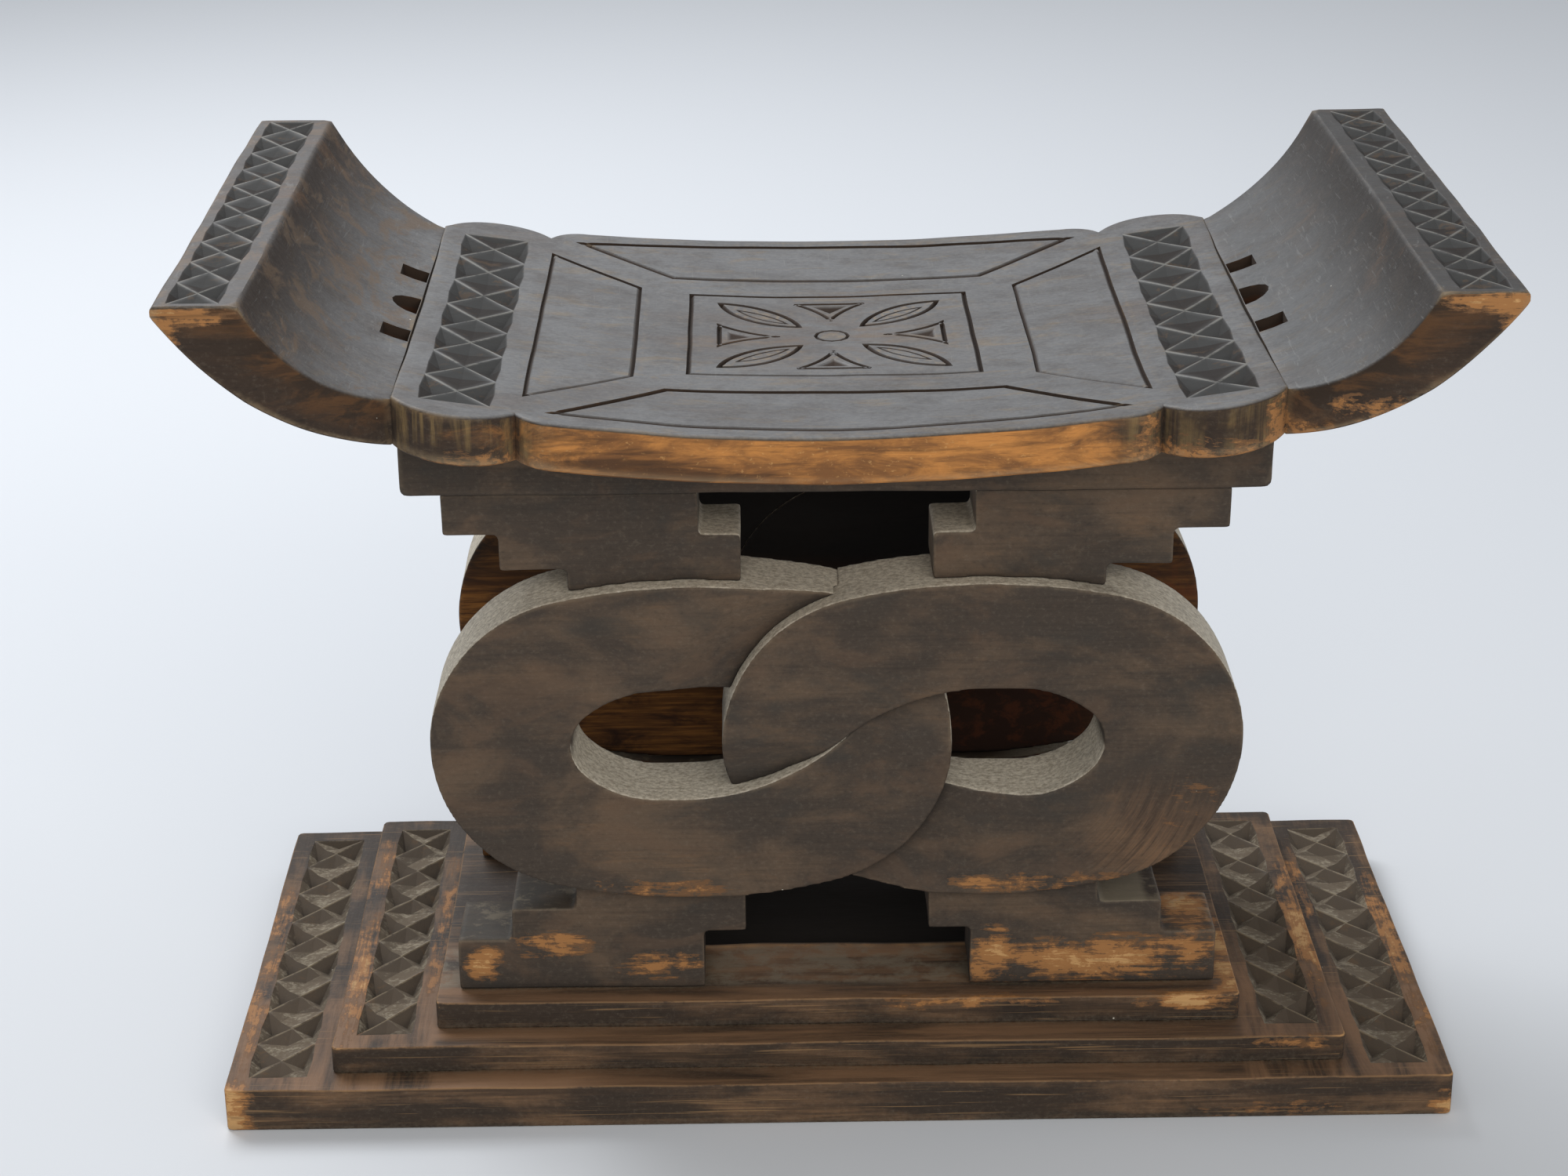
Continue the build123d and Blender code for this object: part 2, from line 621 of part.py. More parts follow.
# --- Assembly ----------------------------------------------------------------
def build_nodes():
    """Every piece of the stool under its node name."""
    wing = right_wing()
    wing_pair = [HALF_TURN * wing, wing]
    nodes = {
        "base_bottom_board": base_bottom_board(),
        "base_middle_step": base_middle_step(),
        "base_top_step": base_top_step(),
        "seat_panel": seat_panel(),
        "left_wing": wing_pair[0],
        "right_wing": wing_pair[1],
        "seat_bearer": seat_bearer(wing_pair),
    }
    left_ring, right_ring_solid = rings()
    screen = {
        ("left", "ring"): left_ring,
        ("right", "ring"): right_ring_solid,
        ("left", "lower_block"): lower_block(True),
        ("right", "lower_block"): lower_block(False),
        ("left", "upper_block"): upper_block(True),
        ("right", "upper_block"): upper_block(False),
    }
    opposite = {"left": "right", "right": "left"}
    for (side, piece), solid in screen.items():
        nodes[f"front_{side}_{piece}"] = solid
        # The back screen is the front one turned round, so its left piece comes from the right.
        nodes[f"back_{opposite[side]}_{piece}"] = HALF_TURN * solid
    return nodes


def main():
    os.makedirs("parts", exist_ok=True)
    for name, solid in build_nodes().items():
        export_step(solid, f"parts/{name}.step")
        print(name, round(solid.volume / 1000, 1), "cm3")


main()
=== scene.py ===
# %% [markdown]
# # A carved Ashanti stool
#
# The stool stands on a stepped, chip-carved base. Two screens of interlaced rings carry a
# dished seat whose ends sweep up like a new moon. It was cut with adze and knife, stained
# black, and then worn: corners and edges are rubbed back to orange wood, ledges hold dust,
# and the seat has a soft grey polish.
#
# The shapes come from the construction model, loaded here as a fixed frame in metres.
# This script cuts each piece again as a hand would leave it, with softened corners, a slight
# waver and finer carving. Then it lays on stain, wear and dust, paints in some light and shade
# (a grey sheen on the seat, shade in corners, in the hollow and on the chips), and sets light
# and a camera.

# %% Load the construction model
import math
import random

import bpy
import numpy as np
from mathutils import Matrix, Vector, noise
from mathutils.geometry import delaunay_2d_cdt


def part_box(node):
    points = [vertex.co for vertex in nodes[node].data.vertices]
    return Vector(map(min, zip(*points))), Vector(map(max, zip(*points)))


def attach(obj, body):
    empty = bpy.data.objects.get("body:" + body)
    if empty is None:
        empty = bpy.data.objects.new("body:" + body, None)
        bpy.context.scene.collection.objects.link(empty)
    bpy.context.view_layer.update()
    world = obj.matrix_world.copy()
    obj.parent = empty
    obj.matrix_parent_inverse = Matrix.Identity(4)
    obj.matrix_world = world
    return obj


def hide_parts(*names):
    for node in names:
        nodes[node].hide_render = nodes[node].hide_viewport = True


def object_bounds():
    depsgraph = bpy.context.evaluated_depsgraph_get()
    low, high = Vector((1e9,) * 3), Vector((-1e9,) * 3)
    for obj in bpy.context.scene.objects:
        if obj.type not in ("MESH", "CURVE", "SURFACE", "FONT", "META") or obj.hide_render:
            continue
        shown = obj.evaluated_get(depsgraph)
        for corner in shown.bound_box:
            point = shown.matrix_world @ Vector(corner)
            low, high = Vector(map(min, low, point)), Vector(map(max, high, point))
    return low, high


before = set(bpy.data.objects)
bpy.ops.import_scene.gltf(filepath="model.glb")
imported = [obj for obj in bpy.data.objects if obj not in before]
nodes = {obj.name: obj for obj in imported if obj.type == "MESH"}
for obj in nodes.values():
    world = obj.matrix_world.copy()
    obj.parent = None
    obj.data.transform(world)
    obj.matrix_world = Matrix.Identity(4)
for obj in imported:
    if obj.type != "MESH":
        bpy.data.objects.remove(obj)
built_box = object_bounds()
print(len(nodes), "pieces of wood")
print("box", [tuple(round(v, 3) for v in corner) for corner in built_box])

# %% [markdown]
# ## Camera
#
# A camera with a long lens stands about 1.3 m in front of the stool, a little left of the
# middle, and looks down on it by 23 degrees. Such a lens keeps the base and the seat nearly
# parallel. We place it with three turns: heading, tilt and a slight lean of the horizon.

# %% Place the camera
EYE = Vector((-0.03418, -1.32849, 0.77988))
HEADING, TILT, LEAN = 0.00861, 0.40159, -0.00889  # radians
FOCAL_SHARE = 3870 / 2000  # focal length over picture width
SENSOR_WIDTH = 36.0  # millimetres
NEAREST, FARTHEST = 0.05, 60.0  # metres

lens = bpy.data.cameras.new("stool_camera")
lens.sensor_width = SENSOR_WIDTH
lens.lens = FOCAL_SHARE * SENSOR_WIDTH
lens.clip_start, lens.clip_end = NEAREST, FARTHEST
camera = bpy.data.objects.new("stool_camera", lens)
bpy.context.scene.collection.objects.link(camera)

forward = Vector(
    (math.sin(HEADING) * math.cos(TILT), math.cos(HEADING) * math.cos(TILT), -math.sin(TILT))
)
level_right = Vector((math.cos(HEADING), -math.sin(HEADING), 0))
level_up = level_right.cross(forward)
right = level_right * math.cos(LEAN) + level_up * math.sin(LEAN)
up = level_up * math.cos(LEAN) - level_right * math.sin(LEAN)
camera.matrix_world = Matrix.Translation(EYE) @ Matrix((right, up, -forward)).transposed().to_4x4()
bpy.context.scene.camera = camera
print("camera lens", round(lens.lens, 1), "mm")

# %% [markdown]
# ## Marking out
#
# A carver first draws on the flat board. We do the same: outlines are lists of points in
# millimetres, seen from above and running anticlockwise. Four helpers are enough: `bow` walks
# along a line or an arc, `outline` closes such walks around a shape, `inset` draws the same
# outline a little further in, as a marking gauge does, and `within` tells which places lie
# inside it.

# %% Lines, arcs and the marking gauge
MM = 0.001


def bow(start, end, rise=0.0, step=4.0):
    """Points from start up to end, on an arc whose middle stands out to the right by rise."""
    (x0, y0), (x1, y1) = start, end
    chord = math.hypot(x1 - x0, y1 - y0)
    count = max(1, round(chord / step))
    half = 2 * math.atan(2 * abs(rise) / chord)  # half of the arc's angle
    points = []
    for number in range(count):
        share = 2 * number / count - 1  # from -1 at the start to 1 at the end
        run, out = share * chord / 2, 0.0
        if rise:
            radius = chord / 2 / math.sin(half)
            run = radius * math.sin(share * half)
            out = math.copysign(radius * (math.cos(share * half) - math.cos(half)), rise)
        along = 0.5 + run / chord
        points.append((x0 + (x1 - x0) * along + (y1 - y0) * out / chord,
                       y0 + (y1 - y0) * along - (x1 - x0) * out / chord))
    return points


def outline(corners, rises=None, step=4.0):
    """Closed outline through corners, with each side straight or bowed out by its rise."""
    rises = rises or [0.0] * len(corners)
    points = []
    for number, rise in enumerate(rises):
        points += bow(corners[number], corners[(number + 1) % len(corners)], rise, step)
    return np.array(points)


def inset(points, distance):
    """The outline moved inwards by a distance, with mitred corners."""
    def inward(edges):
        edges = edges / np.linalg.norm(edges, axis=1)[:, None]
        return np.stack([-edges[:, 1], edges[:, 0]], axis=1)

    before = inward(points - np.roll(points, 1, axis=0))
    after = inward(np.roll(points, -1, axis=0) - points)
    mitre = (before + after) / (1 + (before * after).sum(axis=1))[:, None]
    return points + mitre * np.broadcast_to(distance, len(points))[:, None]


def within(places, points):
    """Which places lie inside an outline."""
    x, y = places[:, 0], places[:, 1]
    found = np.zeros(len(places), bool)
    for (x0, y0), (x1, y1) in zip(points, np.roll(points, -1, axis=0)):
        if y0 != y1:
            crosses = (y0 > y) != (y1 > y)
            found ^= crosses & (x < (x1 - x0) * (y - y0) / (y1 - y0) + x0)
    return found


print("a test square has", len(outline([(0, 0), (20, 0), (20, 20), (0, 20)])), "points")

# %% [markdown]
# ## The knife
#
# Cuts are drawn as lines on the board, where every point also has a depth. There are four:
#
# * a V cut, steep on the outside and sloping inside, as a knife drawn along a line leaves it,
# * a pocket with steep walls and a flat floor,
# * a sunk triangle, one chip with its pit in the middle,
# * a chip band: rows of small pyramids that leave crossed ridges standing between them.
#
# A displacement map could do this on a fine grid, but its ridges would be blurred. Lines that
# the mesh must follow keep every ridge and valley crisp with few faces.

# %% Drawing of the cuts
POCKET_LEAN = 0.35  # the walls of a pocket lean in by this much


class Drawing:
    """What is marked on one board: points with a depth, lines between them, cleared fields."""

    def __init__(self):
        self.places, self.depths, self.lines = [], [], []
        self.cleared = []  # outline and hole of each field that takes no other point
        self.bands = []  # outlines of the chip bands
        self.ridges = set()  # points that stand on a ridge

    def mark(self, place, depth=0.0):
        self.places.append((float(place[0]), float(place[1])))
        self.depths.append(depth)
        return len(self.places) - 1

    def path(self, marks):
        self.lines += list(zip(marks[:-1], marks[1:]))

    def loop(self, points, depth=0.0):
        """Closed line through points that are all equally deep."""
        marks = [self.mark(point, depth) for point in points]
        self.path(marks + marks[:1])
        return marks


def v_cut(drawing, points, cut):
    """V-shaped groove just inside an outline, with a width, a depth and a place of its valley."""
    width, depth, valley = cut
    drawing.loop(points)
    drawing.loop(inset(points, width * valley), depth)
    far_side = inset(points, width)
    drawing.loop(far_side)
    drawing.cleared.append((points, far_side))


def pocket(drawing, points, depth):
    """Hollow with steep walls and a flat floor."""
    drawing.loop(points)
    drawing.loop(inset(points, POCKET_LEAN), depth)
    drawing.cleared.append((points, None))


def sunk_triangle(drawing, corners, depth):
    """Three-sided chip with its pit in the middle."""
    marks = drawing.loop(corners)
    pit = drawing.mark(np.mean(corners, axis=0), depth)
    for mark in marks:
        drawing.path([mark, pit])
    drawing.cleared.append((np.array(corners), None))


# %% The chip band
hand = random.Random(11)
RIDGE_WAVER = 0.35  # no point is further off than this along X or Y
DEPTH_WAVER = 0.12  # nor deeper or shallower than by this share
BORDER_DEPTH, RIDGE_DEPTH, CROSSING_DEPTH = 0.15, 0.3, 0.45  # even high lines lie a little low
SCALLOP, SCALLOP_DEPTH = 0.8, 0.25  # the border of each side chip swells outwards
CHIP_WALL = 0.14  # a side chip is deepest this share of the band's width in from its border
GAP_SINK = 0.62  # chips between cells are shallower than the side chips
PIT_SET_BACK = 0.11  # and steeper at the back, by this share of a cell
WEAK_ON_BASE, WEAK_ON_SEAT = 0.32, 0.06  # share of the depth that every other ridge lies low
HARDLY_WEAK = 0.1  # a ridge that lies lower than this is no pale line
BAND_MARGIN = 1.5  # net points keep this far from a band


def chip_band(drawing, sides, ends, cells, sink, weak_ridge, lean=1):
    """Crossed ridges between sunk pyramids, from ends[0] to ends[1] along Y.

    The strong ridges lean to the right with lean=1 and to the left with lean=-1.
    """
    (left, right), (front, back) = sides, ends
    width, middle, pitch = right - left, (left + right) / 2, (back - front) / cells

    def cut(x, y, depth, waver=RIDGE_WAVER):
        place = (x + hand.uniform(-waver, waver), y + hand.uniform(-waver, waver))
        return drawing.mark(place, depth * hand.uniform(1 - DEPTH_WAVER, 1 + DEPTH_WAVER))

    borders = {}
    for x in (left, right):
        borders[x] = [cut(x, front + n * pitch, BORDER_DEPTH) for n in range(cells + 1)]
    centres = [cut(middle, front + (n + 0.5) * pitch, CROSSING_DEPTH) for n in range(cells)]

    def between(start, end, depth, bulge=0.0):
        (x0, y0), (x1, y1) = drawing.places[start], drawing.places[end]
        mark = cut((x0 + x1) / 2 + bulge, (y0 + y1) / 2, depth, RIDGE_WAVER / 2)
        drawing.path([start, mark, end])
        return mark

    def ridge(start, end, weak):
        mark = between(start, end, sink * weak_ridge if weak else RIDGE_DEPTH)
        drawing.ridges.update((start, end))
        if not weak or weak_ridge < HARDLY_WEAK:
            drawing.ridges.add(mark)

    for n, centre in enumerate(centres):
        for x, inwards in ((left, 1), (right, -1)):
            low, high = borders[x][n : n + 2]
            weak = (x == right) == (lean > 0)
            ridge(low, centre, weak)
            ridge(centre, high, not weak)
            between(low, high, SCALLOP_DEPTH, bulge=-inwards * SCALLOP)
            pit = cut(x + inwards * CHIP_WALL * width, front + (n + 0.5) * pitch, sink)
            for mark in (low, high, centre):
                drawing.path([mark, pit])
    for n in range(cells + 1):
        corners = [borders[left][n], borders[right][n]]
        if n in (0, cells):
            drawing.path(corners)
        nudge = CHIP_WALL * width * ((n == 0) - (n == cells))
        if 0 < n < cells:
            nudge = PIT_SET_BACK * pitch
        pit = cut(middle, front + n * pitch + nudge, sink * GAP_SINK)
        for mark in corners + centres[max(n - 1, 0) : n + 1]:
            drawing.path([mark, pit])
    field = np.array([(left, front), (right, front), (right, back), (left, back)])
    drawing.cleared.append((inset(field, -BAND_MARGIN), None))
    drawing.bands.append(field)


print("knife ready, ridges waver by", RIDGE_WAVER, "mm")

# %% [markdown]
# ## The waver of the hand
#
# Nothing cut by eye is quite straight. One slow field of small shifts moves every point of
# every piece, so that neighbours stay matched. It fades out at the floor, where the stool
# stands flat, and the result is kept inside the box of the construction model.

# %% Shift points as a hand would
WAVERS = ((0.085, 0.75), (0.028, 0.35))  # size of the noise in metres, shift in millimetres
STEADY_BELOW = 12.0  # millimetres over the floor, where the full waver begins
noise.seed_set(11)  # without a seed, Blender takes the offsets of noise_vector from the clock


def wavered(points):
    """Points in millimetres, each shifted a little."""
    low, high = (np.array(corner) / MM for corner in built_box)
    moved = np.array(points, float)
    for size, shift in WAVERS:
        field = [noise.noise_vector(Vector(p) * (MM / size)) for p in points]
        moved += np.array(field) * shift * np.clip(np.array(points)[:, 2:] / STEADY_BELOW, 0, 1)
    return np.clip(moved, low, high)


# %% Hang a finished mesh on the stool
SHARP_ANGLE = 28.0  # degrees, above which an edge of a carved board stays crisp
NO_SHARP_EDGE = 180.0
carved = {}


def family(node):
    """Which of the three finishes a piece takes."""
    if node.startswith("base"):
        return "base"
    return "seat" if node in ("seat_panel", "left_wing", "right_wing") else "screen"


def hang(mesh, node, crease=SHARP_ANGLE):
    """Shade a mesh and let it stand for its piece of the construction model."""
    mesh.shade_smooth()
    mesh.set_sharp_from_angle(angle=math.radians(crease))
    piece = bpy.data.objects.new(node + "_carved", mesh)
    bpy.context.scene.collection.objects.link(piece)
    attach(piece, "root")
    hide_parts(node)
    carved[node] = piece
    print(f"{piece.name}: {len(mesh.polygons)} faces")


# %% [markdown]
# ## From drawing to board
#
# A board is its outline, a top and an underside, each a height over the plan. The top is
# triangulated so that all drawn lines become edges, and every point sinks by its depth. The
# rim turns down over a few rows of points, which is the rounded arris of worn wood. Then
# follow the wall and the underside.

# %% Make a carved board
ARRIS_TURNS = np.radians([22.5, 45, 67.5, 90])
WALL_STEP = 4.0
UNDER_BEVEL = 0.8
TOP_MARGIN, UNDER_MARGIN = 1.8, 4.0  # net points keep this far from the rim
UNDER_NET = 3  # the plain underside takes every third line of the net
STAGGER = 1.3  # every other row of the net is shifted, so that its triangles lie evenly
INSIDE_ONLY, SAME_PLACE = 1, 1e-4  # what the triangulation fills, and when two points are one


def triangulate(drawing, keep_edge):
    """Flat triangles of a drawing.

    Returns the places, the triangles, the depths, which points lie on ridges, and the new
    numbers of the edge marks.
    """
    plan = [Vector(place) for place in drawing.places]
    places, _, triangles, origins, _, _ = delaunay_2d_cdt(
        plan, drawing.lines, [], INSIDE_ONLY, SAME_PLACE
    )
    depths = [max((drawing.depths[mark] for mark in marks), default=0.0) for marks in origins]
    ridges = [float(any(mark in drawing.ridges for mark in marks)) for marks in origins]
    new_number = {mark: number for number, marks in enumerate(origins) for mark in marks}
    flat = np.array([tuple(place) for place in places])
    edge = [new_number[mark] for mark in keep_edge]
    return flat, [tuple(t) for t in triangles], np.array(depths), ridges, edge


def add_net(drawing, points, xs, ys, margin):
    """Points of an even net wherever the board is free of cuts."""
    net = np.array([(x + (row % 2) * STAGGER, y) for x in xs for row, y in enumerate(ys)])
    free = within(net, inset(points, margin))
    for field, hole in drawing.cleared:
        covered = within(net, field)
        if hole is not None:
            covered &= ~within(net, hole)
        free &= ~covered
    for place in net[free]:
        drawing.mark(place)


def carved_board(node, points, top, under, arris, drawing, xs, ys, turned=False):
    """Cut one board. top(x, y) and under(x, y) give heights in millimetres."""
    arris = np.broadcast_to(np.asarray(arris, float), len(points))
    rim = inset(points, arris)
    edge_marks = drawing.loop(rim)
    add_net(drawing, rim, xs, ys, TOP_MARGIN)
    flat, triangles, depths, ridges, edge = triangulate(drawing, edge_marks)
    rows = [np.column_stack([flat, top(flat[:, 0], flat[:, 1]) - depths])]
    faces = list(triangles)

    walls, down = [], [np.zeros(len(flat) + len(ARRIS_TURNS) * len(points))]
    for turn in ARRIS_TURNS:
        ring = inset(points, arris * (1 - math.sin(turn)))
        drop = arris * (1 - math.cos(turn))
        walls.append(np.column_stack([ring, top(ring[:, 0], ring[:, 1]) - drop]))
    foot = under(points[:, 0], points[:, 1]) + UNDER_BEVEL
    levels = max(1, round(float(np.max(walls[-1][:, 2] - foot)) / WALL_STEP))
    shoulder = walls[-1][:, 2]
    for level in range(1, levels + 1):
        height = shoulder + (foot - shoulder) * level / levels
        walls.append(np.column_stack([points, height]))
        down.append(np.full(len(points), level / levels))
    sole = inset(points, UNDER_BEVEL)
    below = Drawing()
    sole_marks = below.loop(sole)
    add_net(below, sole, xs[::UNDER_NET], ys[::UNDER_NET], UNDER_MARGIN)
    sole_flat, sole_triangles, _, _, sole_edge = triangulate(below, sole_marks)

    def skirt(upper, lower):
        """Four-sided faces between two rings of points."""
        return list(zip(upper, lower, np.roll(lower, -1), np.roll(upper, -1)))

    above = np.array(edge)
    count = len(flat)
    for ring in walls:
        current = np.arange(count, count + len(ring))
        rows.append(ring)
        faces += skirt(above, current)
        above, count = current, count + len(ring)
    rows.append(np.column_stack([sole_flat, under(sole_flat[:, 0], sole_flat[:, 1])]))
    faces += [tuple(count + corner for corner in reversed(t)) for t in sole_triangles]
    faces += skirt(above, np.array(sole_edge) + count)

    everything = np.vstack(rows)
    if turned:
        everything[:, :2] *= -1
    mesh = bpy.data.meshes.new(node + "_carved")
    mesh.from_pydata((wavered(everything) * MM).tolist(), [], [tuple(map(int, f)) for f in faces])
    notes = {"cut_depth": depths, "ridge": ridges, "down_wall": np.concatenate(down)}
    for name, values in notes.items():
        whole = np.zeros(len(everything), np.float32)
        whole[: len(values)] = values
        mesh.attributes.new(name, "FLOAT", "POINT").data.foreach_set("value", whole)
    middles = np.array([flat[list(t)].mean(axis=0) for t in triangles])
    in_band = np.zeros(len(mesh.polygons), np.float32)
    for field in drawing.bands:
        in_band[: len(triangles)] += within(middles, field)
    mesh.attributes.new("chip_band", "FLOAT", "FACE").data.foreach_set("value", in_band)
    hang(mesh, node)
    # The knife leaves flat facets in the chips.
    mesh.polygons.foreach_set("use_smooth", in_band < 0.5)


def net_lines(low, high, step):
    """Evenly spaced net lines between two places."""
    return np.linspace(low, high, max(2, round((high - low) / step)))


# %% [markdown]
# ## The base: three boards
#
# Each step is a plain board with rounded corners and, on the two lower ones, a chip band at
# each end. The top step is sunk between the screens, where the stool is hollowed out.

# %% Cut the base
BASE_CHIP_SINK = 5.2
BOARD_CORNER = 2.6
BASE_ARRIS = 0.9
# Per board: sides of the band right of the middle, its front and back ends, cells.
BASE_BANDS = {
    "base_bottom_board": ((247.5, 274.5), (-117.0, 118.5), 8),
    "base_middle_step": ((199.5, 225.0), (-102.0, 104.0), 7),
}
HOLLOW_HALF = (136.0, 46.0)
HOLLOW_DEPTH = 8.0
BASE_NET = 5.5
CORNER_STEP = 1.6


def box_of(node):
    """Lowest and highest corner of a piece in millimetres."""
    low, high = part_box(node)
    return np.array(low) / MM, np.array(high) / MM


def rectangle(half_x, half_y, corner=0.0, step=4.0):
    """Rectangle about the middle, with its corners cut round."""
    if not corner:
        square = [(-half_x, -half_y), (half_x, -half_y), (half_x, half_y), (-half_x, half_y)]
        return outline(square, step=step)
    x, y = half_x - corner, half_y - corner
    corners = [(-x, -half_y), (x, -half_y), (half_x, -y), (half_x, y),
               (x, half_y), (-x, half_y), (-half_x, y), (-half_x, -y)]
    rise = corner * (1 - math.sqrt(0.5))
    points = []
    for number, start in enumerate(corners):
        bend = (rise, CORNER_STEP) if number % 2 else (0.0, step)
        points += bow(start, corners[(number + 1) % len(corners)], *bend)
    return np.array(points)


for node in ("base_bottom_board", "base_middle_step", "base_top_step"):
    low, high = box_of(node)
    drawing = Drawing()
    if node in BASE_BANDS:
        (inner, outer), ends, cells = BASE_BANDS[node]
        chip_band(drawing, (inner, outer), ends, cells, BASE_CHIP_SINK, WEAK_ON_BASE, lean=-1)
        chip_band(drawing, (-outer, -inner), ends, cells, BASE_CHIP_SINK, WEAK_ON_BASE)
    else:
        pocket(drawing, rectangle(*HOLLOW_HALF), HOLLOW_DEPTH)
    carved_board(
        node,
        rectangle(high[0], high[1], BOARD_CORNER),
        lambda x, y, z=high[2]: np.full_like(x, z),
        lambda x, y, z=low[2]: np.full_like(x, z),
        BASE_ARRIS,
        drawing,
        net_lines(low[0], high[0], BASE_NET),
        net_lines(low[1], high[1], BASE_NET),
    )

# %% [markdown]
# ## The seat panel
#
# The panel is bent along the stool and slightly dished across it. Its outline swells in the
# middle, steps back in a sharp notch and ends in a round lobe at each corner. On it are a
# square frame, four fields around it, a flower of four leaves and four flared arms, and a
# chip band at each end.

# %% Heights of the seat
PANEL_TOP_RADIUS, PANEL_UNDER_RADIUS = 1150.0, 1297.0
PANEL_THICKNESS = 21.0
CROWN_HALF, DISH_DEPTH = 144.0, 3.3
JOINT_X, JOINT_HALF = 188.0, 127.5
dish_radius = (CROWN_HALF**2 + DISH_DEPTH**2) / (2 * DISH_DEPTH)
seat_under = box_of("seat_panel")[0][2]
top_axis = seat_under + PANEL_THICKNESS + PANEL_TOP_RADIUS
under_axis = seat_under + PANEL_UNDER_RADIUS


def seat_top(x, y):
    """Height of the dished surface."""
    sag = dish_radius - np.sqrt(dish_radius**2 - y**2)
    return top_axis - np.sqrt((PANEL_TOP_RADIUS + DISH_DEPTH - sag) ** 2 - x**2)


def seat_underside(x, y):
    """Height of the rolled underside."""
    return under_axis - np.sqrt(PANEL_UNDER_RADIUS**2 - x**2)


print("seat top at the middle", round(float(seat_top(0.0, 0.0)), 1), "mm")

# %% Outline of the panel
CROWN_SHOULDER, NOTCH = (118.0, 139.3), (136.0, 130.0)
CROWN_RISE, CORNER_RISE, LOBE_RISE = 4.7, 3.1, 14.2
JOINT_ARRIS, OPEN_ARRIS = 1.3, 1.9
FINE_STEP = 3.0  # between the points of a strongly curved line
NEAR_BY = 0.1


def mirrored(points, x=1, y=1):
    """Points mirrored across the stool's middle."""
    return [(x * px, y * py) for px, py in points]


front = mirrored([(JOINT_X, JOINT_HALF), NOTCH, CROWN_SHOULDER], x=-1, y=-1)
corners = front + mirrored(front[::-1], x=-1)
corners += mirrored(front, x=-1, y=-1) + mirrored(front[::-1], y=-1)
side_rises = [LOBE_RISE, CORNER_RISE, CROWN_RISE, CORNER_RISE, LOBE_RISE, 0.0] * 2
panel_outline = outline(corners, side_rises, FINE_STEP)
at_joint = np.abs(panel_outline[:, 0]) > JOINT_X - NEAR_BY
panel_arris = np.where(at_joint, JOINT_ARRIS, OPEN_ARRIS)
print("the panel's outline has", len(panel_outline), "points")

# %% Measures of the frame, the fields and the flower
SEAT_CHIP_SINK = 3.6
FRAME_HALF = (66.0, 58.5)
SIDE_FIELD = ((74.5, 79.5), (124.0, 125.0))  # inner corner, outer corner
SIDE_FIELD_RISE = 9.5  # the bow of its outer line
END_FIELD = ((88.5, 64.5), (134.5, 106.0))
LEAF_TIPS, LEAF_RISE = ((13.4, 12.5), (53.0, 47.5)), 9.7
VEIN_TIPS, VEIN_RISE = ((19.6, 18.0), (44.6, 38.4)), 3.5
# Per flared arm, along Y and along X: distance of its rim, half width, distance of its tip;
# the same for its sunk triangle, and how deep that is.
ARMS = (
    ((48.0, 19.5, 19.0), (44.0, 8.5, 33.5), 2.4),
    ((53.0, 18.0, 21.0), (48.2, 7.0, 36.0), 2.2),
)
ARM_HOLLOW = -3.2  # the flanks of an arm are bowed in
BUTTON_RADIUS, BUTTON_TURN = 8.5, 0.5236
# Per groove: its width, its depth, and how far in its valley lies, as a share of the width.
FRAME_CUT, SIDE_FIELD_CUT, END_FIELD_CUT = (2.3, 1.8, 0.32), (3.8, 2.9, 0.26), (2.4, 1.5, 0.25)
LEAF_CUT, VEIN_CUT, ARM_CUT = (2.7, 2.2, 0.45), (1.2, 1.0, 0.45), (2.3, 2.1, 0.45)
BUTTON_CUT = (1.7, 1.5, 0.5)
print("grooves", FRAME_CUT[0], "to", SIDE_FIELD_CUT[0], "mm wide")


# %% Draw the frame, the fields and the flower
def anticlockwise(points, rises):
    """The same outline in the sense that the other helpers want."""
    shifted = np.roll(points, -1, axis=0)
    area = (np.array(points)[:, 0] * shifted[:, 1] - shifted[:, 0] * np.array(points)[:, 1]).sum()
    if area > 0:
        return list(points), list(rises)
    turned = list(points)[::-1]
    return turned, list(rises)[::-1][1:] + [rises[-1]]


def groove(drawing, points, rises, cut, step=4.0):
    """V cut along a drawn outline."""
    points, rises = anticlockwise(points, rises)
    v_cut(drawing, outline(points, rises, step), cut)


def flared(shape, side, along_x):
    """Rim and tip of a flared arm, along Y or along X."""
    rim, half, tip = shape
    if along_x:
        return mirrored([(rim, -half), (rim, half), (tip, 0)], x=side)
    return mirrored([(-half, rim), (half, rim), (0, tip)], y=side)


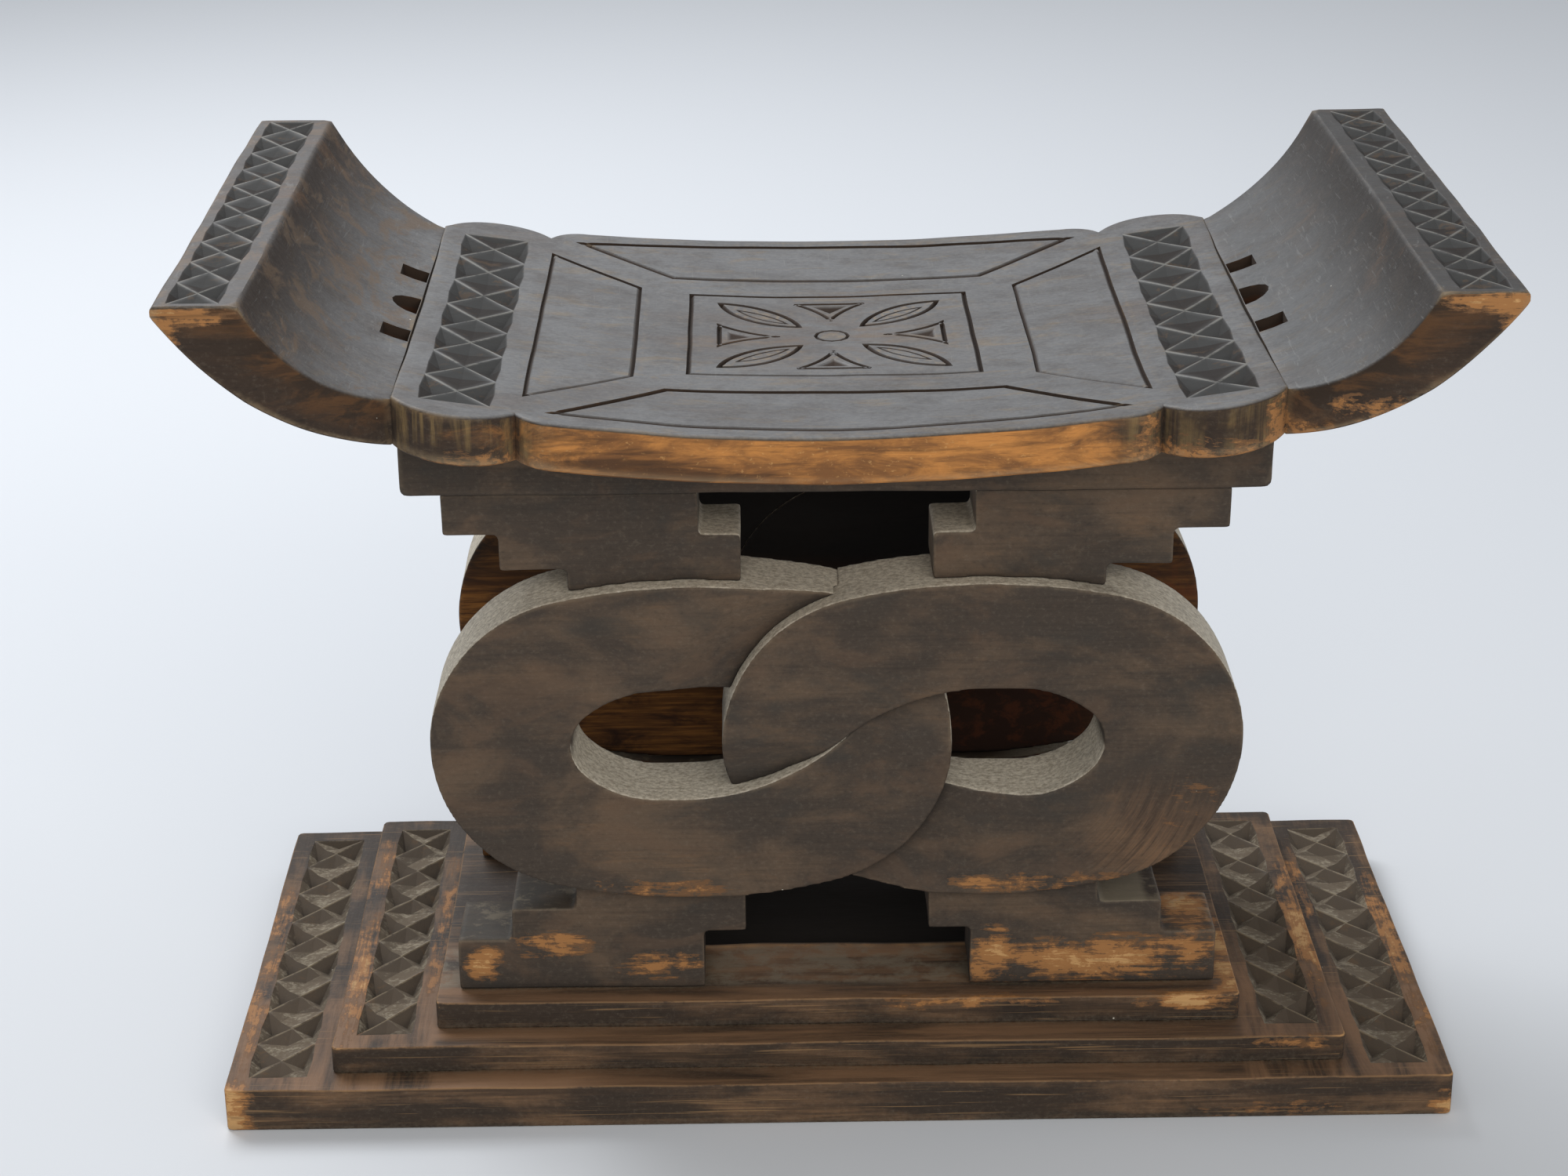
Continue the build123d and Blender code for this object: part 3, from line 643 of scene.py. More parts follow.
seat_drawing = Drawing()
groove(seat_drawing, rectangle(*FRAME_HALF, step=200), [0] * 4, FRAME_CUT)
for side in (1, -1):
    (inner_x, inner_y), (outer_x, outer_y) = SIDE_FIELD
    field = [(-inner_x, inner_y), (inner_x, inner_y), (outer_x, outer_y), (-outer_x, outer_y)]
    groove(seat_drawing, mirrored(field, y=side), [0, 0, SIDE_FIELD_RISE, 0], SIDE_FIELD_CUT)
    (inner_x, inner_y), (outer_x, outer_y) = END_FIELD
    field = [(inner_x, -inner_y), (outer_x, -outer_y), (outer_x, outer_y), (inner_x, inner_y)]
    groove(seat_drawing, mirrored(field, x=side), [0] * 4, END_FIELD_CUT)
    for across in (1, -1):
        leaf, vein = mirrored(LEAF_TIPS, side, across), mirrored(VEIN_TIPS, side, across)
        groove(seat_drawing, leaf, [LEAF_RISE] * 2, LEAF_CUT, FINE_STEP)
        groove(seat_drawing, vein, [VEIN_RISE] * 2, VEIN_CUT, FINE_STEP)
    for along_x, (arm, chip, chip_depth) in enumerate(ARMS):
        arm = flared(arm, side, along_x)
        groove(seat_drawing, arm, [0, ARM_HOLLOW, ARM_HOLLOW], ARM_CUT, FINE_STEP)
        chip, _ = anticlockwise(flared(chip, side, along_x), [0] * 3)
        sunk_triangle(seat_drawing, chip, chip_depth)
turns = np.arange(0, 6.2, BUTTON_TURN)
v_cut(seat_drawing, BUTTON_RADIUS * np.column_stack([np.cos(turns), np.sin(turns)]), BUTTON_CUT)
print(len(seat_drawing.places), "points marked on the seat")

# %% Cut the panel
PANEL_BAND = ((146.5, 177.0), (-124.5, 120.5), 7)
SEAT_NET = 5.0
(inner, outer), ends, cells = PANEL_BAND
chip_band(seat_drawing, (inner, outer), ends, cells, SEAT_CHIP_SINK, WEAK_ON_SEAT)
chip_band(seat_drawing, (-outer, -inner), ends, cells, SEAT_CHIP_SINK, WEAK_ON_SEAT)
low, high = box_of("seat_panel")
carved_board(
    "seat_panel",
    panel_outline,
    seat_top,
    seat_underside,
    panel_arris,
    seat_drawing,
    net_lines(low[0], high[0], SEAT_NET),
    net_lines(low[1], high[1], SEAT_NET),
)

# %% [markdown]
# ## The raised ends
#
# Each end is a plate that sweeps up from the joint to a flat, carved rim, and flares out to
# the full depth of the seat. Its top is one arc, a soft crest and the flat; its back is one
# longer arc. Beside the joint three blind sockets are sunk: two square and one round.

# %% Heights of a raised end
WING_STEP = 2.2  # the panel stands above the wings by this much
WING_RISE = 49.4  # from the joint to the flat
WING_FLAT = 36.0  # width of the flat
WING_CURVE, WING_BACK_CURVE = 91.0, 175.0
WING_END_THICKNESS = 5.0
CREST = 2.6  # length of the soft turn from the sweep to the flat
wing_end = box_of("right_wing")[1][0]
flare_x = wing_end - WING_FLAT
start_top = float(seat_top(JOINT_X, CROWN_HALF)) - WING_STEP
wing_top_flat = start_top + WING_RISE
joint_under = float(seat_underside(JOINT_X, 0.0))


def hanging_arc(start, end, radius):
    """Height along an arc that hangs between two points of the end view."""
    (x0, z0), (x1, z1) = start, end
    chord = math.hypot(x1 - x0, z1 - z0)
    reach = math.sqrt(radius**2 - chord**2 / 4)
    middle_x = (x0 + x1) / 2 - (z1 - z0) / chord * reach
    middle_z = (z0 + z1) / 2 + (x1 - x0) / chord * reach
    return lambda x: middle_z - np.sqrt(np.maximum(radius**2 - (x - middle_x) ** 2, 0.0))


sweep = hanging_arc((JOINT_X, start_top), (flare_x, wing_top_flat), WING_CURVE)
back_end = (wing_end, wing_top_flat - WING_END_THICKNESS)
wing_back = hanging_arc((JOINT_X, joint_under), back_end, WING_BACK_CURVE)


def wing_top(x, y):
    """Arc, soft crest and flat."""
    rising = sweep(np.minimum(x, flare_x))
    # Close to the crest the height turns from the arc's slope to level as a parabola does.
    start = flare_x - CREST / 2
    begin = sweep(start)
    slope = (sweep(start) - sweep(start - NEAR_BY)) / NEAR_BY
    share = np.clip((x - start) / CREST, 0, 1)
    rounded = begin + slope * CREST * (share - share**2 / 2)
    level = begin + slope * CREST / 2
    return np.where(x < start, rising, rounded + (wing_top_flat - level) * share)


def wing_underside(x, y):
    """Longer arc on the outside."""
    return wing_back(x)


print("raised ends reach", round(wing_top_flat, 1), "mm")

# %% Draw and cut both raised ends
WING_DEPTH_HALF = 152.0
WING_FLANK_RISE = 3.65
SOCKET_LENGTH, SOCKET_WIDTH, SOCKET_DEPTH = 12.5, 15.0, 14.0
SOCKET_SPACING, EYE_SOCKET_WIDTH = 43.5, 23.0
SOCKET_LIP = 0.3
SOCKET_STEP = 5.0
EYE_START = 0.5  # the round socket runs straight for this length before it turns
WING_BAND = ((252.0, 274.0), (-148.0, 148.0), 10)
WING_CHIP_SINK = SEAT_CHIP_SINK - 0.6
WING_STEP_ALONG = 3.5
RIM_NET = 4.8  # the last line of the net lies this far from the rim
HIDDEN_ARRIS, RIM_ARRIS, FLANK_ARRIS = 0.05, 2.2, 1.6

wing_corners = [(JOINT_X, -JOINT_HALF), (flare_x, -WING_DEPTH_HALF), (wing_end, -WING_DEPTH_HALF),
                (wing_end, WING_DEPTH_HALF), (flare_x, WING_DEPTH_HALF), (JOINT_X, JOINT_HALF)]
wing_rises = [WING_FLANK_RISE, 0, 0, 0, WING_FLANK_RISE, 0]
wing_outline = outline(wing_corners, wing_rises, WING_STEP_ALONG)
outline_x = wing_outline[:, 0]
at_joint, at_rim = outline_x < JOINT_X + NEAR_BY, outline_x > wing_end - NEAR_BY
wing_arris = np.where(at_joint, HIDDEN_ARRIS, np.where(at_rim, RIM_ARRIS, FLANK_ARRIS))

# The net is closer where the height turns most: high on the sweep and about the crest.
sweep_lines = JOINT_X + (flare_x - 3 * CREST - JOINT_X) * np.linspace(0.02, 1.0, 17) ** 0.8
crest_lines = np.array([-1.6, -0.8, -0.5, -0.25, 0, 0.25, 0.5, 0.9]) * CREST + flare_x
wing_net_x = np.concatenate([sweep_lines, crest_lines, [wing_end - RIM_NET]])

for node in ("right_wing", "left_wing"):
    drawing = Drawing()
    socket_start, socket_end = JOINT_X + SOCKET_LIP, JOINT_X + SOCKET_LENGTH
    for middle in (-SOCKET_SPACING, SOCKET_SPACING):
        low_y, high_y = middle - SOCKET_WIDTH / 2, middle + SOCKET_WIDTH / 2
        square = [(socket_start, low_y), (socket_end, low_y),
                  (socket_end, high_y), (socket_start, high_y)]
        pocket(drawing, outline(square, step=SOCKET_STEP), SOCKET_DEPTH)
    half, turn_x = EYE_SOCKET_WIDTH / 2, socket_start + EYE_START
    round_end = [(socket_start, -half), (turn_x, -half), (turn_x, half), (socket_start, half)]
    eye_rises = [0, socket_end - turn_x - NEAR_BY, 0, 0]
    pocket(drawing, outline(round_end, eye_rises, FINE_STEP), SOCKET_DEPTH)
    (inner, outer), ends, cells = WING_BAND
    chip_band(drawing, (inner, outer), ends, cells, WING_CHIP_SINK, WEAK_ON_SEAT)
    carved_board(
        node,
        wing_outline,
        wing_top,
        wing_underside,
        wing_arris,
        drawing,
        wing_net_x,
        net_lines(-WING_DEPTH_HALF, WING_DEPTH_HALF, SEAT_NET),
        turned=node == "left_wing",
    )

# %% [markdown]
# ## Rings, blocks and bearer
#
# These keep the shape of the construction model, but no real corner is that sharp. We could
# bevel every edge, and get trouble where many meet. Instead each piece is cast again in small
# cubes and smoothed: hard corners become the soft ones that years of hands and brooms leave.

# %% Where one ring dives under the other
RING_SPREAD, EYE_REACH, EYE_HALF = 66.0, 70.0, 26.9
RING_END_MIDDLE, RING_END_RADIUS = 21.0, 73.0
DIVE, DIVE_REACH = 6.0, 32.0
DIVE_THICKNESS = 16.0  # only the wood this close behind the face is pared
ON_PARTNER = -2.0  # paring starts this far under the partner's edge
END_FADE = 20.0
DIVE_CURVE = 1.5  # over 1, so that the paring starts gently
ring_low, ring_high = box_of("front_right_ring")
ring_height = (ring_low[2] + ring_high[2]) / 2
ring_face = -ring_low[1]
eye_radius = (EYE_REACH**2 + EYE_HALF**2) / (2 * EYE_HALF)


def dive(points):
    """Pare the face of one ring back where it runs under its partner."""
    side, outwards = np.sign(points[:, 0].mean()), np.sign(points[:, 1].mean())
    # All four rings are the front right one, turned end for end or seen from behind.
    x = points[:, 0] * side
    z = (points[:, 2] - ring_height) * side * -outwards
    # The lower arm comes out from under the partner's end.
    away = np.hypot(x + RING_END_MIDDLE, z) - RING_END_RADIUS
    below_eye = (z < -EYE_HALF / 2) & (away > ON_PARTNER)
    arm = np.where(below_eye, np.clip(1 - away / DIVE_REACH, 0, 1), 0)
    # The end dips behind the partner's lower arm, along the S between the two eyes.
    run = np.clip(EYE_REACH + x, 0, EYE_REACH)
    above = z + EYE_HALF - eye_radius + np.sqrt(eye_radius**2 - run**2)
    end = np.where(above > ON_PARTNER, np.clip(1 - above / DIVE_REACH, 0, 1), 0)
    end *= np.clip(-x / END_FADE, 0, 1)
    behind = ring_face - np.abs(points[:, 1])
    near_face = np.clip(1 - behind / DIVE_THICKNESS, 0, 1)
    moved = points.copy()
    moved[:, 1] -= outwards * DIVE * near_face * np.maximum(arm, end) ** DIVE_CURVE
    return moved


# %% Soften the sawn pieces
FINE_CUBE, COARSE_CUBE = 0.0013, 0.0032
BEARER_COARSER = 1.3  # the large plain bearer does with larger cubes
SMOOTHINGS = 3
cube = FINE_CUBE

for node, source in nodes.items():
    if node in carved:
        continue
    rough = bpy.data.objects.new("rough_piece", source.data.copy())
    bpy.context.scene.collection.objects.link(rough)
    recast = rough.modifiers.new("recast", "REMESH")
    recast.mode = "VOXEL"
    recast.voxel_size = cube * (BEARER_COARSER if node == "seat_bearer" else 1.0)
    rub_down = rough.modifiers.new("rub_down", "SMOOTH")
    rub_down.factor, rub_down.iterations = 0.5, SMOOTHINGS
    shaped = rough.evaluated_get(bpy.context.evaluated_depsgraph_get())
    mesh = bpy.data.meshes.new_from_object(shaped)
    bpy.data.objects.remove(rough)
    points = np.empty(len(mesh.vertices) * 3, np.float32)
    mesh.vertices.foreach_get("co", points)
    points = points.reshape(-1, 3) / MM
    if node.endswith("ring"):
        points = dive(points)
    moved = wavered(points) * MM
    mesh.vertices.foreach_set("co", moved.astype(np.float32).ravel())
    mesh.update()
    hang(mesh, node, crease=NO_SHARP_EDGE)

# %% [markdown]
# ## Small helpers for painting with nodes
#
# A Blender material is a net of small nodes. Writing it by hand takes many lines, so we make
# short verbs for what a finisher does: lay a node, stretch a noise along the grain, turn a
# value into a mask, and glaze one colour over another.

# %% Lay one node and link its inputs
def lay(tree, kind, inputs=None, **settings):
    """Adds a node. Inputs are numbers, colours or the outputs of other nodes."""
    made = tree.nodes.new(kind)
    for name, value in settings.items():
        setattr(made, name, value)
    for socket, value in (inputs or {}).items():
        target = made.inputs[socket]
        if isinstance(value, bpy.types.NodeSocket):
            tree.links.new(value, target)
        else:
            target.default_value = value
    return made


def srgb(red, green, blue):
    """A colour as read from a paint card, 0 to 255, as the linear colour that Blender wants."""
    def linear(c):
        c /= 255
        return c / 12.92 if c <= 0.04045 else ((c + 0.055) / 1.055) ** 2.4
    return (linear(red), linear(green), linear(blue), 1.0)


# %% A bench: one material with the noises that all its layers share
CORNER_REACH, CORNER_LOOKS = 0.012, 4  # how far the look for inner corners goes, and how often
EDGE_BULGE = (0.512, 0.56)  # Blender calls a flat 0.5, and what stands out more


class Bench:
    """The node net of one finish. Sizes are in metres, X is along the grain."""

    def __init__(self, name):
        self.material = bpy.data.materials.new(name)
        self.material.use_nodes = True
        self.tree = self.material.node_tree
        self.tree.nodes.clear()
        self.place = lay(self.tree, "ShaderNodeTexCoord").outputs["Object"]
        surface = lay(self.tree, "ShaderNodeNewGeometry")
        facing = lay(self.tree, "ShaderNodeSeparateXYZ", {0: surface.outputs["Normal"]})
        _, self.facing_y, self.facing_z = facing.outputs
        self.bulge = surface.outputs["Pointiness"]
        inputs = {"Distance": CORNER_REACH}
        look = lay(self.tree, "ShaderNodeAmbientOcclusion", inputs, samples=CORNER_LOOKS)
        self.openness = look.outputs["AO"]
        spots = lay(self.tree, "ShaderNodeSeparateXYZ", {0: self.place})
        self.x, self.y, self.z = spots.outputs
        self.fine = self.grain((0.050, 0.0016, 0.0016), detail=4, rough=0.7)
        self.broad = self.grain((0.16, 0.013, 0.011), detail=6, rough=0.62, seed=3.1, warp=0.4)
        self.cloud = self.grain((0.075, 0.042, 0.042), detail=6, rough=0.6, seed=7.7, warp=0.4)
        self.grit = self.grain((0.0024, 0.0018, 0.0018), detail=3, rough=0.7, seed=1.3)
        self.blotch = self.grain((0.034, 0.011, 0.010), detail=6, rough=0.68, seed=5.9, warp=0.7)
        self.mottle = self.grain((0.014, 0.011, 0.010), detail=7, rough=0.72, seed=8.4, warp=0.3)
        self.colour = None

    def grain(self, size, detail=5.0, rough=0.6, seed=0.0, warp=0.0, place=None):
        """Noise with one size along each axis."""
        stretched = lay(
            self.tree,
            "ShaderNodeMapping",
            {
                "Vector": place or self.place,
                "Location": (seed, seed * 1.7, seed * 0.6),
                "Scale": tuple(1 / s for s in size),
            },
        )
        inputs = {"Vector": stretched.outputs[0], "Scale": 1.0, "Detail": detail}
        inputs.update({"Roughness": rough, "Distortion": warp})
        return lay(self.tree, "ShaderNodeTexNoise", inputs).outputs["Fac"]

    def reckon(self, operation, a, b=0.0, clamp=False):
        """Arithmetic on one or two values."""
        made = lay(self.tree, "ShaderNodeMath", {0: a, 1: b}, operation=operation, use_clamp=clamp)
        return made.outputs[0]

    def times(self, *values):
        """Product of all values."""
        product = values[0]
        for value in values[1:]:
            product = self.reckon("MULTIPLY", product, value)
        return product

    def plus(self, *values):
        """Sum of all values."""
        total = values[0]
        for value in values[1:]:
            total = self.reckon("ADD", total, value)
        return total

    def mixture(self, *parts):
        """Sum of values that each come with their share."""
        return self.plus(*[self.times(value, share) for value, share in parts])

    def mask(self, value, empty, full):
        """0 where value is at empty, 1 where it is at full, and a soft step between."""
        inputs = {"Value": value, "From Min": empty, "From Max": full}
        made = lay(self.tree, "ShaderNodeMapRange", inputs, interpolation_type="SMOOTHSTEP")
        return made.outputs["Result"]

    def without(self, value):
        """One minus a mask."""
        return self.reckon("SUBTRACT", 1.0, value, clamp=True)

    def glaze(self, amount, over, under=None):
        """Lays a colour over what is there, by an amount or by the product of several.

        With under given, it only returns the mix.
        """
        if isinstance(amount, tuple):
            amount = self.times(*amount)
        base = self.colour if under is None else under
        inputs = {"Factor": amount, 6: base, 7: over}
        mixed = lay(self.tree, "ShaderNodeMix", inputs, data_type="RGBA").outputs[2]
        if under is None:
            self.colour = mixed
        return mixed

    def spot(self, centre, reach):
        """Soft egg-shaped spot: 1 in the middle, 0 at its reach."""
        kind = "ShaderNodeVectorMath"
        away = lay(self.tree, kind, {0: self.place, 1: centre}, operation="SUBTRACT")
        shape = lay(self.tree, kind, {0: away.outputs[0], 1: reach}, operation="DIVIDE")
        length = lay(self.tree, kind, {0: shape.outputs[0]}, operation="LENGTH")
        return self.mask(length.outputs["Value"], 1.0, 0.0)

    def carved_value(self, name):
        """A value that the carving left on the mesh."""
        return lay(self.tree, "ShaderNodeAttribute", attribute_name=name).outputs["Fac"]

    def near_edge(self):
        """1 on outer edges, 0 on flats, from how far the surface bulges."""
        return self.mask(self.bulge, *EDGE_BULGE)

    def in_corner(self, tight=0.0):
        """1 in inner corners, 0 in the open. A tight corner is a narrower one."""
        return self.mask(self.openness, 0.85 - 0.3 * tight, 0.35 - 0.15 * tight)


print("paint bench ready")

# %% [markdown]
# ## Stain, polish and painted sheen
#
# The stool was stained nearly black. The stain took unevenly, so it is browner in streaks
# along the grain and in cloudy patches. Where the seat faces up, hands and cloth have
# brought it to a half-mirror polish; its grey is painted sheen, a lighter colour that stands
# in for the bright room reflected in it.

# %% Stain
# SOOT_AND_SHADE is real soot in the stain, and also the colour of painted shade in corners and
# chip hollows.
STAIN, STAIN_BROWN, SOOT_AND_SHADE = srgb(56, 44, 35), srgb(100, 74, 52), srgb(28, 25, 23)
THIN_STAIN, PORE_DUST = srgb(132, 98, 66), srgb(170, 158, 140)


def stain(bench, dark, brown, share, streaky=0.5):
    """First coat: share is how much of the wood is brown, streaky how much of it in streaks."""
    streak = bench.mixture((bench.broad, streaky), (bench.cloud, 1 - streaky))
    browned = bench.mask(streak, 0.58 - 0.22 * share, 0.76 - 0.22 * share)
    bench.colour = bench.glaze(browned, brown, under=dark)
    bench.glaze((bench.mask(bench.fine, 0.45, 0.75), 0.2 + 0.4 * streaky), SOOT_AND_SHADE)
    thin = (bench.mask(bench.blotch, 0.50, 0.70), bench.mask(bench.fine, 0.6, 0.4), browned)
    bench.glaze((*thin, 0.15 + 0.5 * streaky), THIN_STAIN)
    # Open pores and fine dust, which no stained wood is without.
    bench.glaze((bench.mask(bench.grit, 0.50, 0.75), 0.07), PORE_DUST)
    bench.glaze((bench.mask(bench.grit, 0.45, 0.28), 0.25), SOOT_AND_SHADE)


# %% Polish and painted sheen
# Painted sheen: these greys stand in for the bright room reflected in the seat's polish.
PAINTED_SHEEN_GREY, PAINTED_SHEEN_WARM = srgb(111, 111, 112), srgb(124, 114, 102)
POLISH_DUST = srgb(158, 156, 150)
# Hair-fine scratches, one set along the seat and one across it: seed and size of each.
HAIRS = ((4.1, (0.030, 0.0008, 0.020)), (7.3, (0.0008, 0.030, 0.020)))


def polish_and_sheen(bench, middle, most, least):
    """Painted sheen, a grey film on what faces up: most in the middle and least at the ends,
    thinner in clouds.
    """
    amount = bench.plus(least, bench.times(middle, most - least))
    thin = bench.times(bench.mask(bench.cloud, 0.38, 0.68), 0.34)
    sheen_film = bench.times(bench.mask(bench.facing_z, 0.35, 0.88), bench.without(thin), amount)
    tone = bench.glaze(bench.mask(bench.blotch, 0.52, 0.70), PAINTED_SHEEN_WARM, under=PAINTED_SHEEN_GREY)
    tone = bench.glaze((bench.mask(bench.mottle, 0.45, 0.62), 0.24), STAIN, under=tone)
    tone = bench.glaze((bench.mask(bench.fine, 0.50, 0.70), 0.18), STAIN, under=tone)
    tone = bench.glaze((bench.mask(bench.grit, 0.40, 0.65), 0.16), POLISH_DUST, under=tone)
    # Painted reflection: the grey film is laid on as colour where the seat faces up.
    bench.glaze(sheen_film, tone)
    for seed, size in HAIRS:
        hairs = bench.grain(size, detail=3, rough=0.7, seed=seed, warp=0.8)
        bench.glaze((sheen_film, bench.mask(hairs, 0.64, 0.72), 0.20), POLISH_DUST)


# %% [markdown]
# ## Wear
#
# Rubbed wood is never an even outline. The mask of an edge or a spot is torn by streaky noise
# before it is used, so that bare wood shows in broken runs. The same torn mask drives three
# glazes: brown where the stain is thin, orange where it is gone, pale where the wood is
# polished bare.

# %% Rub through the stain
RUBBED_BROWN, BARE_ORANGE, BARE_PALE = srgb(114, 82, 54), srgb(164, 115, 68), srgb(204, 162, 108)
BROWN_AT, BARE_AT = 0.25, 0.60  # how far a place is rubbed before brown and orange show
FRAY = 1.5


def torn(bench, mask, ragged):
    """A mask broken up by noise: low parts vanish and the border frays."""
    swing = bench.reckon("SUBTRACT", bench.mask(ragged, 0.38, 0.62), 0.5)
    return bench.plus(mask, bench.times(swing, FRAY, bench.mask(mask, 0.0, 0.25)))


def rub(bench, mask, pale_at):
    """Glaze bare wood by a torn mask."""
    bench.glaze((bench.mask(mask, BROWN_AT, BROWN_AT + 0.18), 0.85), RUBBED_BROWN)
    bench.glaze((bench.mask(mask, BARE_AT, BARE_AT + 0.20), 0.85), BARE_ORANGE)
    bench.glaze((bench.mask(mask, pale_at, pale_at + 0.25), 0.7), BARE_PALE)
    # Dark stain stays in the pores of bare wood.
    pores = bench.mask(bench.fine, 0.54, 0.72)
    bench.glaze((bench.mask(mask, BROWN_AT, BARE_AT), pores, 0.45), STAIN)


def rub_spots(bench, spots, where=1.0, pale_at=1.05):
    """Rubbed places, each with middle, reach and strength."""
    ragged = bench.mixture((bench.blotch, 0.40), (bench.mottle, 0.35), (bench.fine, 0.25))
    most = None
    for centre, reach, strength in spots:
        one = bench.times(bench.spot(centre, reach), strength)
        most = one if most is None else bench.reckon("MAXIMUM", most, one)
    rub(bench, torn(bench, bench.times(most, where), ragged), pale_at)


def wear_edges(bench, amount, tone):
    """Thin broken line of worn wood along outer edges."""
    open_edge = bench.times(bench.near_edge(), bench.without(bench.in_corner()))
    broken = bench.mask(bench.plus(bench.broad, bench.times(bench.grit, 0.35)), 0.52, 0.78)
    bench.glaze((open_edge, bench.mask(bench.facing_z, -0.4, 0.2), broken, amount), tone)


# %% [markdown]
# ## Carving, painted light and shade, and dust
#
# The knife leaves dark, unpolished walls. In a chip each facet is painted lighter or darker by
# the way it faces, as light from behind would fall on it, and the deeper parts get painted
# shade; the ridges between the chips catch every touch and turn pale. Inner corners get
# painted shade too. The mesh carries the depth of each cut and the lines of the ridges, so
# these masks need no guessing. Dust lies on whatever faces up and is not wiped: the tops of the
# rings and the lower walls of the eyes. Its pale tone is partly painted light, for ledges that
# the seat shades.

# %% Tone the cuts, with painted light and shade in the chips
GROOVE_BROWN, SCRAP_BROWN = srgb(58, 45, 36), srgb(104, 80, 56)
POWDER_DARK, POWDER_PALE = srgb(118, 108, 92), srgb(168, 158, 138)


def tone_cuts(bench, sink, painted_front_facets, painted_back_facets, ridge, ridge_share, pocket_floor):
    """Brown grooves; chips painted lighter or darker by the way each facet faces and shaded deeper
    in; light ridges.
    """
    depth, band = bench.carved_value("cut_depth"), bench.carved_value("chip_band")
    bench.glaze((bench.mask(depth, 0.10, 0.9), bench.without(band), 0.92), GROOVE_BROWN)
    # Floors of pockets; the base's near-black one is painted shade of the hollow.
    bench.glaze((bench.mask(depth, 4.0, 7.0), bench.without(band), 0.9), pocket_floor)
    # Painted light and shade: facets facing the front and facets facing the back take different
    # tones, as light from behind would give them.
    tone = bench.glaze(bench.mask(bench.facing_y, -0.05, 0.06), painted_back_facets, under=painted_front_facets)
    # Painted shade: the chips darken towards their deepest points.
    tone = bench.glaze((bench.mask(depth, 0.5 * sink, sink), 0.35), SOOT_AND_SHADE, under=tone)
    tone = bench.glaze((bench.mask(bench.mottle, 0.56, 0.64), 0.35), SCRAP_BROWN, under=tone)
    bench.glaze((band, bench.mask(depth, 0.15, 0.5), 0.95), tone)
    line = bench.times(band, bench.mask(bench.carved_value("ridge"), 0.90, 0.96))
    bench.glaze((line, bench.mask(bench.mottle, 0.40, 0.52), ridge_share), ridge)


def powder_chips(bench, sink, amount):
    """Old dust that clings in patches to the chip walls, with crisp borders."""
    depth, band = bench.carved_value("cut_depth"), bench.carved_value("chip_band")
    not_deepest = bench.mask(depth, 1.05 * sink, 0.6 * sink)
    walls = bench.times(not_deepest, bench.mask(bench.facing_y, -0.10, 0.05))
    patches = bench.mask(bench.mixture((bench.mottle, 0.7), (bench.grit, 0.3)), 0.47, 0.60)
    tone = bench.glaze(bench.mask(bench.grit, 0.35, 0.65), POWDER_PALE, under=POWDER_DARK)
    bench.glaze((band, walls, patches, amount), tone)


# %% Painted corner shade, and dust that is partly painted light
# Dust colours, made paler than dust alone as painted light on ledges that the seat shades.
LIT_DUST_DARK, LIT_DUST_PALE, SPECK = srgb(172, 160, 141), srgb(230, 220, 200), srgb(222, 216, 200)
CRUMB_SPACING, CRUMB_SIZE = 0.019, (0.026, 0.016)  # metres, and shares of the spacing


def painted_corner_shade(bench, amount):
    """Painted shade: darkens inner corners, where shade falls."""
    bench.glaze((bench.in_corner(), amount), SOOT_AND_SHADE)


def dust_and_painted_light(bench, amount, place):
    """Grey powder on ledges, speckled with pale grains, paler than dust alone as painted light."""
    up_facing = bench.mask(bench.facing_z, -0.10, 0.40)
    # Not on the faces that look out, nor on the edges that look into the hollow.
    outward = bench.times(bench.facing_y, bench.reckon("SIGN", bench.y))
    walls = bench.times(bench.mask(outward, 0.75, 0.35), bench.mask(outward, -0.40, -0.10))
    dust_and_light = bench.times(up_facing, walls, bench.mask(bench.cloud, 0.10, 0.50), place, amount)
    lit_powder = bench.glaze(bench.mask(bench.grit, 0.30, 0.70), LIT_DUST_PALE, under=LIT_DUST_DARK)
    bench.glaze(dust_and_light, lit_powder)
    grains = bench.grain((0.0011, 0.0011, 0.0011), detail=1, seed=9.0)
    bench.glaze((bench.mask(grains, 0.64, 0.72), dust_and_light), SPECK)


def specks(bench):
    """A few white crumbs, about one in a palm's breadth."""
    inputs = {"Vector": bench.place, "Scale": 1 / CRUMB_SPACING}
    cells = lay(bench.tree, "ShaderNodeTexVoronoi", inputs)
    drawn_lot = lay(bench.tree, "ShaderNodeSeparateXYZ", {0: cells.outputs["Color"]}).outputs[0]
    crumb = bench.mask(cells.outputs["Distance"], *CRUMB_SIZE)
    bench.glaze((crumb, bench.mask(drawn_lot, 0.60, 0.62), 0.85), SPECK)


# %% [markdown]
# ## Surface
#
# Relief comes in three sizes: pores and grain, the slow swell of a planed face, and shallow
# facets of the knife. Cuts stay dull, while the open faces are as glossy as they are handled.

# %% Close the material
FACET_SIZE, FACET_SOFTNESS = 0.026, 0.8
RELIEF_HEIGHT, RELIEF_STRENGTH = 0.0012, 0.6
DULL_WOOD, DULL_CUT = 0.78, 0.35
SPECULAR = 0.3


